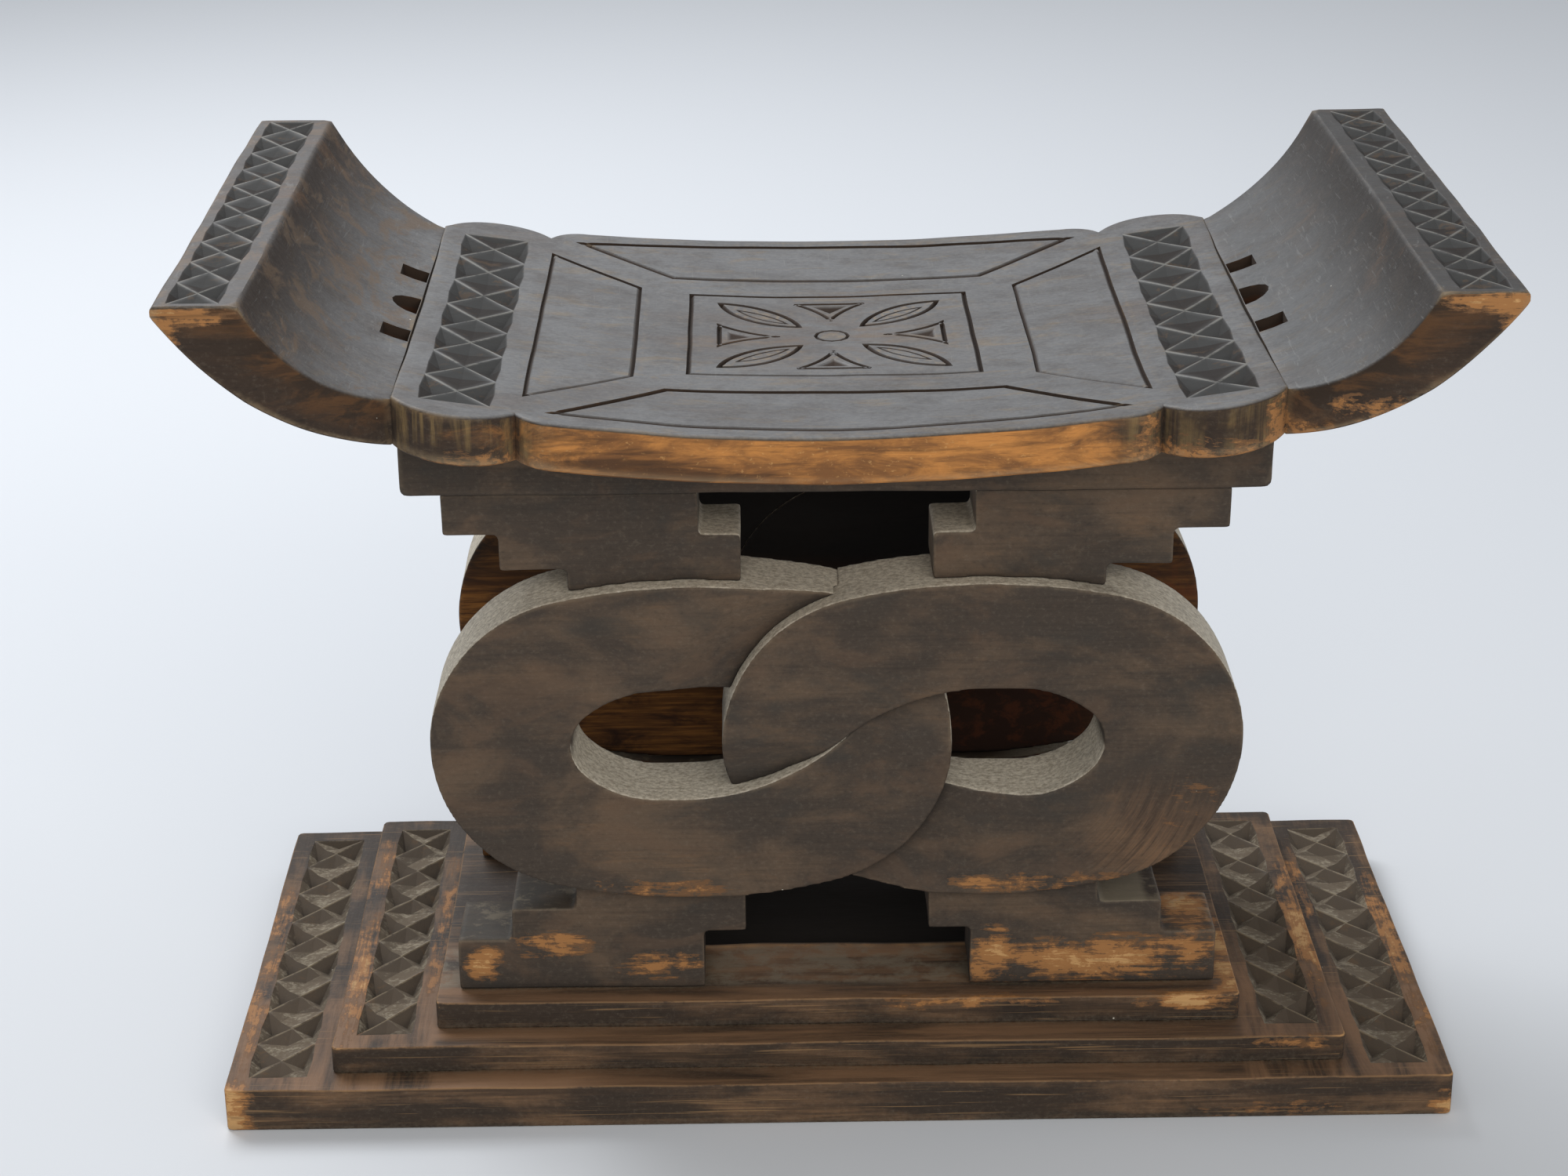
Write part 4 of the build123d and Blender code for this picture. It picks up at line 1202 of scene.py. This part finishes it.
def finish_surface(bench, gloss):
    """Roughness, relief and output."""
    facets = lay(
        bench.tree,
        "ShaderNodeTexVoronoi",
        {"Vector": bench.place, "Scale": 1 / FACET_SIZE, "Smoothness": FACET_SOFTNESS},
        feature="SMOOTH_F1",
    )
    height = bench.mixture(
        (bench.fine, 0.22),
        (bench.broad, 0.45),
        (bench.cloud, 0.8),
        (facets.outputs["Distance"], 0.5),
        (bench.grit, 0.08),
    )
    inputs = {"Strength": RELIEF_STRENGTH, "Distance": RELIEF_HEIGHT, "Height": height}
    bump = lay(bench.tree, "ShaderNodeBump", inputs)
    shine = bench.times(bench.mask(bench.facing_z, 0.2, 0.8), gloss * 0.55)
    dull = bench.reckon("SUBTRACT", DULL_WOOD - gloss * 0.1, shine)
    dull = bench.plus(dull, bench.times(bench.blotch, 0.20))
    in_cut = bench.mask(bench.carved_value("cut_depth"), 0.2, 1.0)
    dull = bench.reckon("ADD", dull, bench.times(in_cut, DULL_CUT), clamp=True)
    inputs = {"Base Color": bench.colour, "Roughness": dull, "Normal": bump.outputs[0]}
    body = lay(bench.tree, "ShaderNodeBsdfPrincipled", inputs)
    body.inputs["Specular IOR Level"].default_value = SPECULAR
    lay(bench.tree, "ShaderNodeOutputMaterial", {"Surface": body.outputs[0]})
    print(bench.material.name, "has", len(bench.tree.nodes), "nodes")
    return bench.material


# %% [markdown]
# ## The seat's finish
#
# Polish above, with a painted grey sheen on it, dark cuts, and an orange front edge where calves
# and hands rub. The lobes keep greenish, upright streaks of old varnish. Each spot is a soft
# egg: middle, reach and how far the stain is gone.

# %% Places and colours of the seat
SEAT_SPOTS = [
    ((-0.150, -0.140, 0.332), (0.050, 0.030, 0.012), 0.75),
    ((0.150, -0.140, 0.332), (0.044, 0.030, 0.014), 0.95),
    ((0.128, -0.140, 0.345), (0.010, 0.030, 0.030), 0.75),
    ((0.184, -0.136, 0.342), (0.010, 0.030, 0.030), 0.70),
    ((-0.270, -0.152, 0.404), (0.044, 0.014, 0.008), 1.05),
    ((-0.278, -0.152, 0.394), (0.014, 0.014, 0.014), 0.90),
    ((0.270, -0.152, 0.403), (0.040, 0.014, 0.008), 0.95),
    ((0.278, -0.152, 0.394), (0.014, 0.014, 0.014), 0.75),
    ((0.228, -0.146, 0.354), (0.040, 0.020, 0.011), 0.70),
    ((0.200, -0.138, 0.340), (0.022, 0.020, 0.010), 0.72),
    ((-0.245, 0.060, 0.395), (0.020, 0.100, 0.014), 0.50),
]
ON_ENDS, ON_SWEEP = (0.186, 0.190), (0.186, 0.192)  # outwards from the joint, in metres
CALVES_AT, CALVES_REACH = (-0.008, -0.146, 0.332), (0.180, 0.060, 0.090)
SITTER_AT, SITTER_REACH = (0.0, 0.0, 0.33), (0.095, 0.085, 0.10)
FRONT_BROWN, FRONT_ORANGE = srgb(124, 83, 48), srgb(196, 133, 70)
FRONT_STREAK, FRONT_GLINT = srgb(92, 64, 42), srgb(208, 160, 100)
END_DARK, END_GOLD, END_GRAIN = srgb(48, 36, 26), srgb(96, 65, 37), srgb(52, 41, 32)
SWEEP_LESS_SHEEN, SWEEP_BROWN, SCUFF = srgb(54, 57, 58), srgb(114, 94, 74), srgb(150, 150, 148)
SEAT_WARM, VARNISH, SEAT_EDGE = srgb(112, 95, 82), srgb(128, 105, 68), srgb(150, 130, 102)
print(len(SEAT_SPOTS), "rubbed places on the seat")


# %% Parts of the seat that look unlike the rest
def handled_front(bench, below_top):
    """Front edge between the lobes, worn evenly to warm brown by calves and hands."""
    cloudy = bench.mixture((bench.blotch, 0.6), (bench.cloud, 0.4))
    reach = bench.spot(CALVES_AT, CALVES_REACH)
    front = bench.mask(bench.plus(reach, bench.times(cloudy, 0.8)), 0.48, 0.82)
    warm = bench.glaze(bench.mask(cloudy, 0.40, 0.60), FRONT_ORANGE, under=FRONT_BROWN)
    warm = bench.glaze((bench.mask(bench.fine, 0.50, 0.72), 0.55), FRONT_STREAK, under=warm)
    warm = bench.glaze((bench.mask(bench.grit, 0.60, 0.72), 0.5), FRONT_GLINT, under=warm)
    bench.glaze((below_top, front, 0.95), warm)


def golden_ends(bench, outwards, below_top):
    """Upper half of the raised ends' front and back faces, thinly stained along the top edge."""
    cloudy = bench.mixture((bench.blotch, 0.5), (bench.cloud, 0.5))
    ragged = bench.times(bench.reckon("SUBTRACT", cloudy, 0.5), 3.0)
    upper_half = bench.mask(bench.plus(bench.carved_value("down_wall"), ragged), 0.85, 0.10)
    faces = bench.times(below_top, bench.mask(bench.reckon("ABSOLUTE", bench.facing_y), 0.4, 0.7))
    tone = bench.glaze(bench.mask(bench.broad, 0.42, 0.60), END_GOLD, under=END_DARK)
    bench.glaze((bench.mask(outwards, *ON_ENDS), faces, upper_half, 0.85), tone)


def swept_ends(bench, outwards):
    """Inner sides of the raised ends: less painted sheen on the right one, brown patches, pale
    scuffs.
    """
    facing_up = bench.mask(bench.facing_z, 0.15, 0.35)
    inner_side = bench.times(bench.mask(outwards, *ON_SWEEP), facing_up)
    # Painted shade: the right end's inner side is darkened, taking back part of the painted sheen.
    bench.glaze((inner_side, bench.mask(bench.x, 0.18, 0.20), 0.40), SWEEP_LESS_SHEEN)
    patches = bench.grain((0.018, 0.030, 0.018), detail=6, rough=0.66, seed=3.6, warp=0.6)
    # Many on the left end, and hardly any on the right one.
    amount = bench.plus(0.06, bench.times(bench.mask(bench.x, -0.18, -0.20), 0.54))
    bench.glaze((inner_side, bench.mask(patches, 0.50, 0.62), amount), SWEEP_BROWN)
    scuffs = bench.grain((0.004, 0.018, 0.0015), detail=4, rough=0.7, seed=6.2, warp=1.2)
    bench.glaze((inner_side, bench.mask(scuffs, 0.58, 0.68), 0.22), SCUFF)


# %% Finish the seat
def seat_finish():
    """Polished black of panel and raised ends."""
    bench = Bench("seat_polished_black")
    outwards = bench.reckon("ABSOLUTE", bench.x)
    below_top = bench.mask(bench.facing_z, 0.45, 0.20)
    stain(bench, STAIN, STAIN_BROWN, share=0.35)
    # Painted sheen on what faces up, thinner towards the ends.
    polish_and_sheen(bench, bench.mask(outwards, 0.245, 0.185), most=1.05, least=0.45)
    sitter = bench.times(bench.spot(SITTER_AT, SITTER_REACH), bench.mask(bench.blotch, 0.35, 0.65))
    bench.glaze((sitter, 0.55), SEAT_WARM)
    # Upright streaks of varnish on the lobes.
    lobes = bench.times(bench.mask(outwards, 0.112, 0.128), bench.mask(outwards, 0.192, 0.187))
    upright = bench.grain((0.007, 0.007, 0.100), detail=6, rough=0.7, seed=2.3, warp=0.5)
    streaks = bench.times(lobes, below_top, bench.mask(upright, 0.42, 0.66))
    bench.glaze((streaks, bench.mask(bench.cloud, 0.35, 0.60), 0.9), VARNISH)
    swept_ends(bench, outwards)
    handled_front(bench, below_top)
    golden_ends(bench, outwards, below_top)
    rub_spots(bench, SEAT_SPOTS, where=below_top, pale_at=1.30)
    # The undersides of the raised ends show their end grain, which took the stain evenly.
    undersides = bench.mask(bench.reckon("ABSOLUTE", bench.facing_y), 0.7, 0.4)
    bench.glaze((below_top, undersides, bench.mask(outwards, *ON_ENDS), 0.75), END_GRAIN)
    smoke = bench.times(below_top, bench.mask(bench.broad, 0.53, 0.64), 0.60)
    bench.glaze((smoke, bench.without(bench.times(lobes, 0.75))), SOOT_AND_SHADE)
    wear_edges(bench, 0.6, SEAT_EDGE)
    tone_cuts(
        bench,
        SEAT_CHIP_SINK,
        # Painted light and shade on the chips: here the facets facing back are darker.
        painted_front_facets=srgb(58, 58, 57),
        painted_back_facets=srgb(38, 32, 28),
        ridge=srgb(124, 122, 116),
        ridge_share=0.75,
        pocket_floor=srgb(84, 52, 32),
    )
    # Painted shade in inner corners.
    painted_corner_shade(bench, 0.45)
    specks(bench)
    return finish_surface(bench, gloss=0.52)


# %% [markdown]
# ## The screens' finish
#
# Matt brown-black, with dust on every ledge, its pale tone partly painted light. The faces
# inside the hollow are painted dark as its shade, nearly black in the gates; behind the eyes the
# inside was never stained well and shows orange. At the lower right the gouge left fine arcs
# that follow the ring, drawn here as noise in polar coordinates about the ring's middle.

# %% Places and colours of the screens
SCREEN_SPOTS = [
    ((-0.165, -0.086, 0.064), (0.014, 0.012, 0.015), 1.15),
    ((-0.135, -0.086, 0.072), (0.030, 0.012, 0.012), 0.65),
    ((-0.080, -0.086, 0.060), (0.034, 0.012, 0.012), 0.70),
    ((0.072, -0.086, 0.062), (0.018, 0.012, 0.024), 1.10),
    ((0.125, -0.086, 0.060), (0.070, 0.012, 0.020), 1.05),
    ((0.165, -0.080, 0.064), (0.020, 0.020, 0.018), 1.00),
    ((0.165, -0.066, 0.0755), (0.020, 0.036, 0.008), 1.25),
    ((0.100, -0.094, 0.106), (0.085, 0.012, 0.011), 0.42),
    ((-0.090, -0.094, 0.106), (0.080, 0.012, 0.012), 0.28),
    ((0.160, -0.094, 0.140), (0.026, 0.012, 0.036), 0.30),
]
SCORED_AT, SCORED_REACH = (0.146, -0.094, 0.126), (0.050, 0.016, 0.046)
SCREEN_BLACK, SCREEN_BROWN = srgb(66, 57, 49), srgb(92, 76, 61)
HANDLED_COOL, HANDLED_RED = srgb(52, 52, 49), srgb(102, 80, 62)
# The first two are painted shade for the inside of the hollow.
HOLLOW_SHADE_BLACK, HOLLOW_SHADE_BROWN, HOLLOW_RED = srgb(14, 10, 8), srgb(48, 26, 14), srgb(98, 50, 22)
AMBER_DARK, AMBER = srgb(92, 58, 27), srgb(142, 94, 44)
SCORED_BROWN, SCORED_PALE = srgb(112, 82, 58), srgb(124, 94, 68)
TREAD_GREY, TREAD_PALE, TREAD_DUST = srgb(60, 60, 56), srgb(136, 124, 104), srgb(130, 120, 102)
SCREEN_EDGE = srgb(128, 112, 92)
print(len(SCREEN_SPOTS), "rubbed places on the screens")


# %% Parts of the screens that look unlike the rest
def ring_arcs(bench):
    """Noise drawn out along circles about the middle of the nearer ring."""
    across = bench.reckon("SUBTRACT", bench.reckon("ABSOLUTE", bench.x), RING_SPREAD * MM)
    above = bench.reckon("SUBTRACT", bench.z, float(ring_height) * MM)
    squares = bench.plus(bench.times(across, across), bench.times(above, above))
    turn = bench.times(bench.reckon("ARCTAN2", above, across), 0.1)
    polar_place = {0: bench.reckon("SQRT", squares), 1: turn, 2: 0.0}
    polar = lay(bench.tree, "ShaderNodeCombineXYZ", polar_place).outputs[0]
    return bench.grain((0.0015, 0.030, 1.0), detail=3, rough=0.6, seed=4.4, warp=0.5, place=polar)


def scored_corner(bench):
    """Fine arcs that the gouge left on the front, at the lower right."""
    arcs = ring_arcs(bench)
    facing_front = bench.mask(bench.facing_y, -0.7, -0.9)
    scored = bench.times(bench.spot(SCORED_AT, SCORED_REACH), facing_front)
    bench.glaze((scored, 0.35), SCORED_BROWN)
    bench.glaze((scored, bench.mask(arcs, 0.50, 0.60), 0.35), SCORED_PALE)
    bench.glaze((scored, bench.mask(arcs, 0.46, 0.38), 0.40), SOOT_AND_SHADE)


def hollow_shade_and_amber(bench, hidden, gates):
    """Faces that look into the hollow: painted shade, dark brown and nearly black in the gates,
    with amber behind the left eye.
    """
    painted_hollow_shade = bench.glaze(gates, HOLLOW_SHADE_BLACK, under=HOLLOW_SHADE_BROWN)
    # Painted shade: a dark coat on the faces inside the hollow, nearly black in the gates.
    bench.glaze((hidden, 0.97), painted_hollow_shade)
    at_ends = bench.mask(bench.reckon("ABSOLUTE", bench.x), 0.120, 0.150)
    amber_mask = bench.times(hidden, bench.mask(bench.x, 0.02, -0.08), bench.mask(bench.z, 0.215, 0.18))
    amber_mask = bench.reckon("MAXIMUM", amber_mask, bench.times(hidden, at_ends, 0.45))
    amber = bench.glaze(bench.mask(bench.fine, 0.40, 0.65), AMBER, under=AMBER_DARK)
    bench.glaze((amber_mask, bench.mask(bench.blotch, 0.30, 0.60)), amber)


def screen_treads(bench):
    """Ledges of the lower blocks: grey on the left, pale scraps, and dust on the right."""
    treads = bench.times(bench.mask(bench.facing_z, 0.5, 0.9), bench.mask(bench.z, 0.110, 0.100))
    bench.glaze((treads, bench.mask(bench.x, 0.05, -0.05), 0.50), TREAD_GREY)
    bench.glaze((treads, bench.mask(bench.mottle, 0.50, 0.62), 0.45), TREAD_PALE)
    dusty = bench.times(treads, bench.mask(bench.x, 0.08, 0.10), bench.mask(bench.x, 0.146, 0.142))
    bench.glaze((dusty, 0.75), TREAD_DUST)


# %% Finish the screens
def screen_finish():
    """Matt brown-black of rings, blocks and bearer."""
    bench = Bench("screen_matt_black")
    stain(bench, SCREEN_BLACK, SCREEN_BROWN, share=0.60, streaky=0.12)
    # Handling left the flat faces cooler in some places and redder in others.
    handled = bench.grain((0.060, 0.032, 0.030), detail=6, rough=0.62, seed=5.1, warp=0.6)
    bench.glaze((bench.mask(handled, 0.52, 0.66), 0.40), HANDLED_COOL)
    bench.glaze((bench.mask(handled, 0.47, 0.36), 0.32), HANDLED_RED)
    inward = bench.times(bench.facing_y, bench.reckon("SIGN", bench.y), -1.0)
    hidden = bench.times(bench.mask(inward, 0.3, 0.8), bench.mask(bench.z, 0.300, 0.285))
    low_gate, high_gate = bench.mask(bench.z, 0.105, 0.085), bench.mask(bench.z, 0.192, 0.212)
    gates = bench.reckon("MAXIMUM", low_gate, high_gate)
    # Painted shade inside the hollow, with amber wood behind the eyes.
    hollow_shade_and_amber(bench, hidden, gates)
    rub_spots(bench, SCREEN_SPOTS, pale_at=1.20)
    scored_corner(bench)
    behind_right_eye = bench.times(hidden, bench.mask(bench.x, 0.03, 0.08))
    red = bench.times(behind_right_eye, bench.mask(bench.mottle, 0.48, 0.62), 0.5)
    bench.glaze((red, bench.without(gates)), HOLLOW_RED)
    # Nothing rubs the edges that look into the hollow.
    inner_edge = bench.mask(bench.reckon("ABSOLUTE", bench.y), 0.058, 0.050)
    rubbed = bench.times(bench.without(hidden), bench.without(inner_edge), 0.5)
    wear_edges(bench, rubbed, SCREEN_EDGE)
    # Painted shade in inner corners, such as along the rings' crossing.
    painted_corner_shade(bench, 0.60)
    screen_treads(bench)
    # Dust on ledges, partly painted light.
    dust_and_painted_light(bench, 0.92, bench.mask(bench.z, 0.100, 0.110))
    specks(bench)
    return finish_surface(bench, gloss=0.45)


# %% [markdown]
# ## The base's finish
#
# Feet and brooms have worn the base most: brown faces with dark streaks along the grain,
# orange margins beside the chips, and a thin bright line along each step's front edge.

# %% Places and colours of the base
BASE_SPOTS = [
    ((-0.284, -0.130, 0.010), (0.018, 0.018, 0.034), 1.60),
    ((-0.262, -0.136, 0.012), (0.020, 0.006, 0.010), 0.90),
    ((0.282, -0.128, 0.004), (0.012, 0.014, 0.014), 1.00),
    ((-0.279, -0.020, 0.0214), (0.011, 0.130, 0.010), 0.75),
    ((-0.231, -0.050, 0.035), (0.012, 0.085, 0.010), 1.05),
    ((-0.231, 0.050, 0.035), (0.010, 0.060, 0.010), 0.75),
    ((-0.194, 0.000, 0.035), (0.007, 0.110, 0.010), 0.60),
    ((0.184, -0.060, 0.046), (0.014, 0.070, 0.014), 1.20),
    ((0.165, -0.099, 0.046), (0.040, 0.010, 0.008), 1.00),
    ((0.060, -0.099, 0.046), (0.060, 0.010, 0.007), 0.70),
    ((0.231, -0.010, 0.035), (0.011, 0.100, 0.010), 0.95),
    ((0.215, -0.115, 0.031), (0.030, 0.010, 0.006), 0.80),
    ((0.279, -0.020, 0.0214), (0.012, 0.120, 0.010), 0.75),
    ((0.242, 0.060, 0.0214), (0.008, 0.060, 0.010), 0.60),
    ((0.200, -0.129, 0.004), (0.050, 0.010, 0.008), 0.60),
]
BASE_BLACK, BASE_BROWN, BASE_SCRATCH = srgb(58, 47, 38), srgb(112, 86, 63), srgb(150, 118, 82)
TRODDEN_LIT_BROWN, SILL_LIT_GREY = srgb(140, 106, 78), srgb(132, 122, 104)
SCRAPED_EDGE, FOOT_DUST = srgb(180, 136, 88), srgb(122, 112, 94)
print(len(BASE_SPOTS), "rubbed places on the base")


# %% Parts of the base that look unlike the rest
def turn_the_grain(bench):
    """The margins beside the chips are rubbed along the margin, across the grain."""
    outwards = bench.mask(bench.reckon("ABSOLUTE", bench.x), 0.186, 0.192)
    ends = bench.times(outwards, bench.mask(bench.facing_z, 0.5, 0.8))

    def turned(with_grain, size, seed):
        across = bench.grain(size, detail=6, rough=0.66, seed=seed, warp=0.5)
        return bench.mixture((with_grain, bench.without(ends)), (across, ends))

    bench.broad = turned(bench.broad, (0.012, 0.110, 0.011), 2.7)
    bench.fine = turned(bench.fine, (0.0018, 0.030, 0.0018), 4.9)
    bench.blotch = turned(bench.blotch, (0.012, 0.036, 0.010), 8.8)


def trodden_and_lit_treads(bench):
    """Treads in front, and the sill between the blocks, are browner and lighter than the risers:
    partly wear, partly painted light where the stool shades them.
    """
    facing_up = bench.mask(bench.facing_z, 0.7, 0.95)
    trodden_and_lit = bench.times(facing_up, bench.mask(bench.y, -0.044, -0.050))
    # Wear and painted light: the front treads are lightened brown.
    bench.glaze((trodden_and_lit, bench.mask(bench.broad, 0.30, 0.62), 0.7), TRODDEN_LIT_BROWN)
    sill = bench.times(trodden_and_lit, bench.mask(bench.y, -0.088, -0.080))
    scraps, height = bench.mask(bench.mottle, 0.40, 0.60), bench.mask(bench.z, 0.040, 0.044)
    # Wear and painted light: pale grey scraps on the sill.
    bench.glaze((sill, scraps, height, 0.6), SILL_LIT_GREY)


def scraped_steps(bench):
    """Front edges of the steps: a thin line where soles scrape."""
    scraped = bench.times(bench.near_edge(), bench.mask(bench.facing_z, 0.05, 0.4))
    frayed = bench.mask(bench.plus(bench.blotch, bench.times(bench.grit, 0.3)), 0.50, 0.66)
    no_chips = bench.without(bench.carved_value("chip_band"))
    bench.glaze((scraped, no_chips, frayed, 0.9), SCRAPED_EDGE)


# %% Finish the base
def base_finish():
    """Rubbed brown-black of the three boards."""
    bench = Bench("base_rubbed_black")
    turn_the_grain(bench)
    stain(bench, BASE_BLACK, BASE_BROWN, share=0.62, streaky=0.45)
    scratches = bench.grain((0.090, 0.0011, 0.0011), detail=2, rough=0.6, seed=6.6)
    bench.glaze((bench.mask(scratches, 0.62, 0.70), 0.5), BASE_SCRATCH)
    black = bench.times(bench.mask(bench.broad, 0.56, 0.64), bench.mask(bench.facing_z, 0.6, 0.3))
    bench.glaze((black, 0.6), SOOT_AND_SHADE)
    trodden_and_lit_treads(bench)
    rub_spots(bench, BASE_SPOTS)
    tone_cuts(
        bench,
        BASE_CHIP_SINK,
        # Painted light and shade on the chips: here the facets facing back are lighter.
        painted_front_facets=srgb(80, 70, 59),
        painted_back_facets=srgb(106, 94, 79),
        ridge=srgb(146, 132, 108),
        ridge_share=0.6,
        # Painted shade: the sunk floor of the hollow is nearly black.
        pocket_floor=srgb(20, 16, 12),
    )
    powder_chips(bench, BASE_CHIP_SINK, 0.65)
    scraped_steps(bench)
    # Painted shade in inner corners.
    painted_corner_shade(bench, 0.35)
    foot = bench.times(bench.in_corner(tight=1.0), bench.mask(bench.grit, 0.35, 0.6))
    bench.glaze((foot, 0.45), FOOT_DUST)
    specks(bench)
    return finish_surface(bench, gloss=0.48)


# %% Lay the three finishes on
finishes = {"seat": seat_finish(), "screen": screen_finish(), "base": base_finish()}
for node, piece in carved.items():
    piece.data.materials.clear()
    piece.data.materials.append(finishes[family(node)])
print("finished", len(carved), "pieces")

# %% [markdown]
# ## Floor and light
#
# A plain pale floor takes the soft shadow. The light is that of a bright room: an even sky,
# a large window-like lamp behind and above, and a wider, weaker one in front.

# %% The floor
FLOOR_HALF = 8.0
FLOOR_COLOUR, FLOOR_ROUGHNESS = srgb(222, 225, 229), 0.9
floor_mesh = bpy.data.meshes.new("floor")
floor_mesh.from_pydata(
    [(x * FLOOR_HALF, y * FLOOR_HALF, 0) for x, y in ((-1, -1), (1, -1), (1, 1), (-1, 1))],
    [],
    [(0, 1, 2, 3)],
)
floor = bpy.data.objects.new("floor", floor_mesh)
bpy.context.scene.collection.objects.link(floor)

floor_paint = bpy.data.materials.new("pale_floor")
floor_paint.use_nodes = True
floor_shader = floor_paint.node_tree.nodes["Principled BSDF"]
floor_shader.inputs["Base Color"].default_value = FLOOR_COLOUR
floor_shader.inputs["Roughness"].default_value = FLOOR_ROUGHNESS
floor_mesh.materials.append(floor_paint)
print("floor", 2 * FLOOR_HALF, "m wide")

# %% The sky and two lamps
SKY_COLOUR, SKY_STRENGTH = (0.93, 0.96, 1.0, 1.0), 0.42
LOOK_AT = Vector((0, 0, 0.2))
# Per lamp: where it stands, width and height in metres, watts, colour.
LAMPS = {
    "window_behind": ((-0.9, 1.3, 2.0), (1.5, 1.1), 42.0, (0.95, 0.97, 1.0)),
    "room_in_front": ((0.4, -2.2, 1.35), (2.4, 1.2), 31.0, (1.0, 0.97, 0.92)),
}

world = bpy.data.worlds.new("soft_room")
bpy.context.scene.world = world
world.use_nodes = True
sky = world.node_tree.nodes["Background"]
sky.inputs["Color"].default_value = SKY_COLOUR
sky.inputs["Strength"].default_value = SKY_STRENGTH

for name, (stands_at, (width, height), power, colour) in LAMPS.items():
    data = bpy.data.lights.new(name, "AREA")
    data.shape, data.size, data.size_y = "RECTANGLE", width, height
    data.energy, data.color = power, colour
    lamp = bpy.data.objects.new(name, data)
    lamp.location = stands_at
    lamp.rotation_euler = (LOOK_AT - lamp.location).to_track_quat("-Z", "Y").to_euler()
    bpy.context.scene.collection.objects.link(lamp)
    print(name, power, "W")
bpy.context.scene.view_settings.view_transform = "Standard"
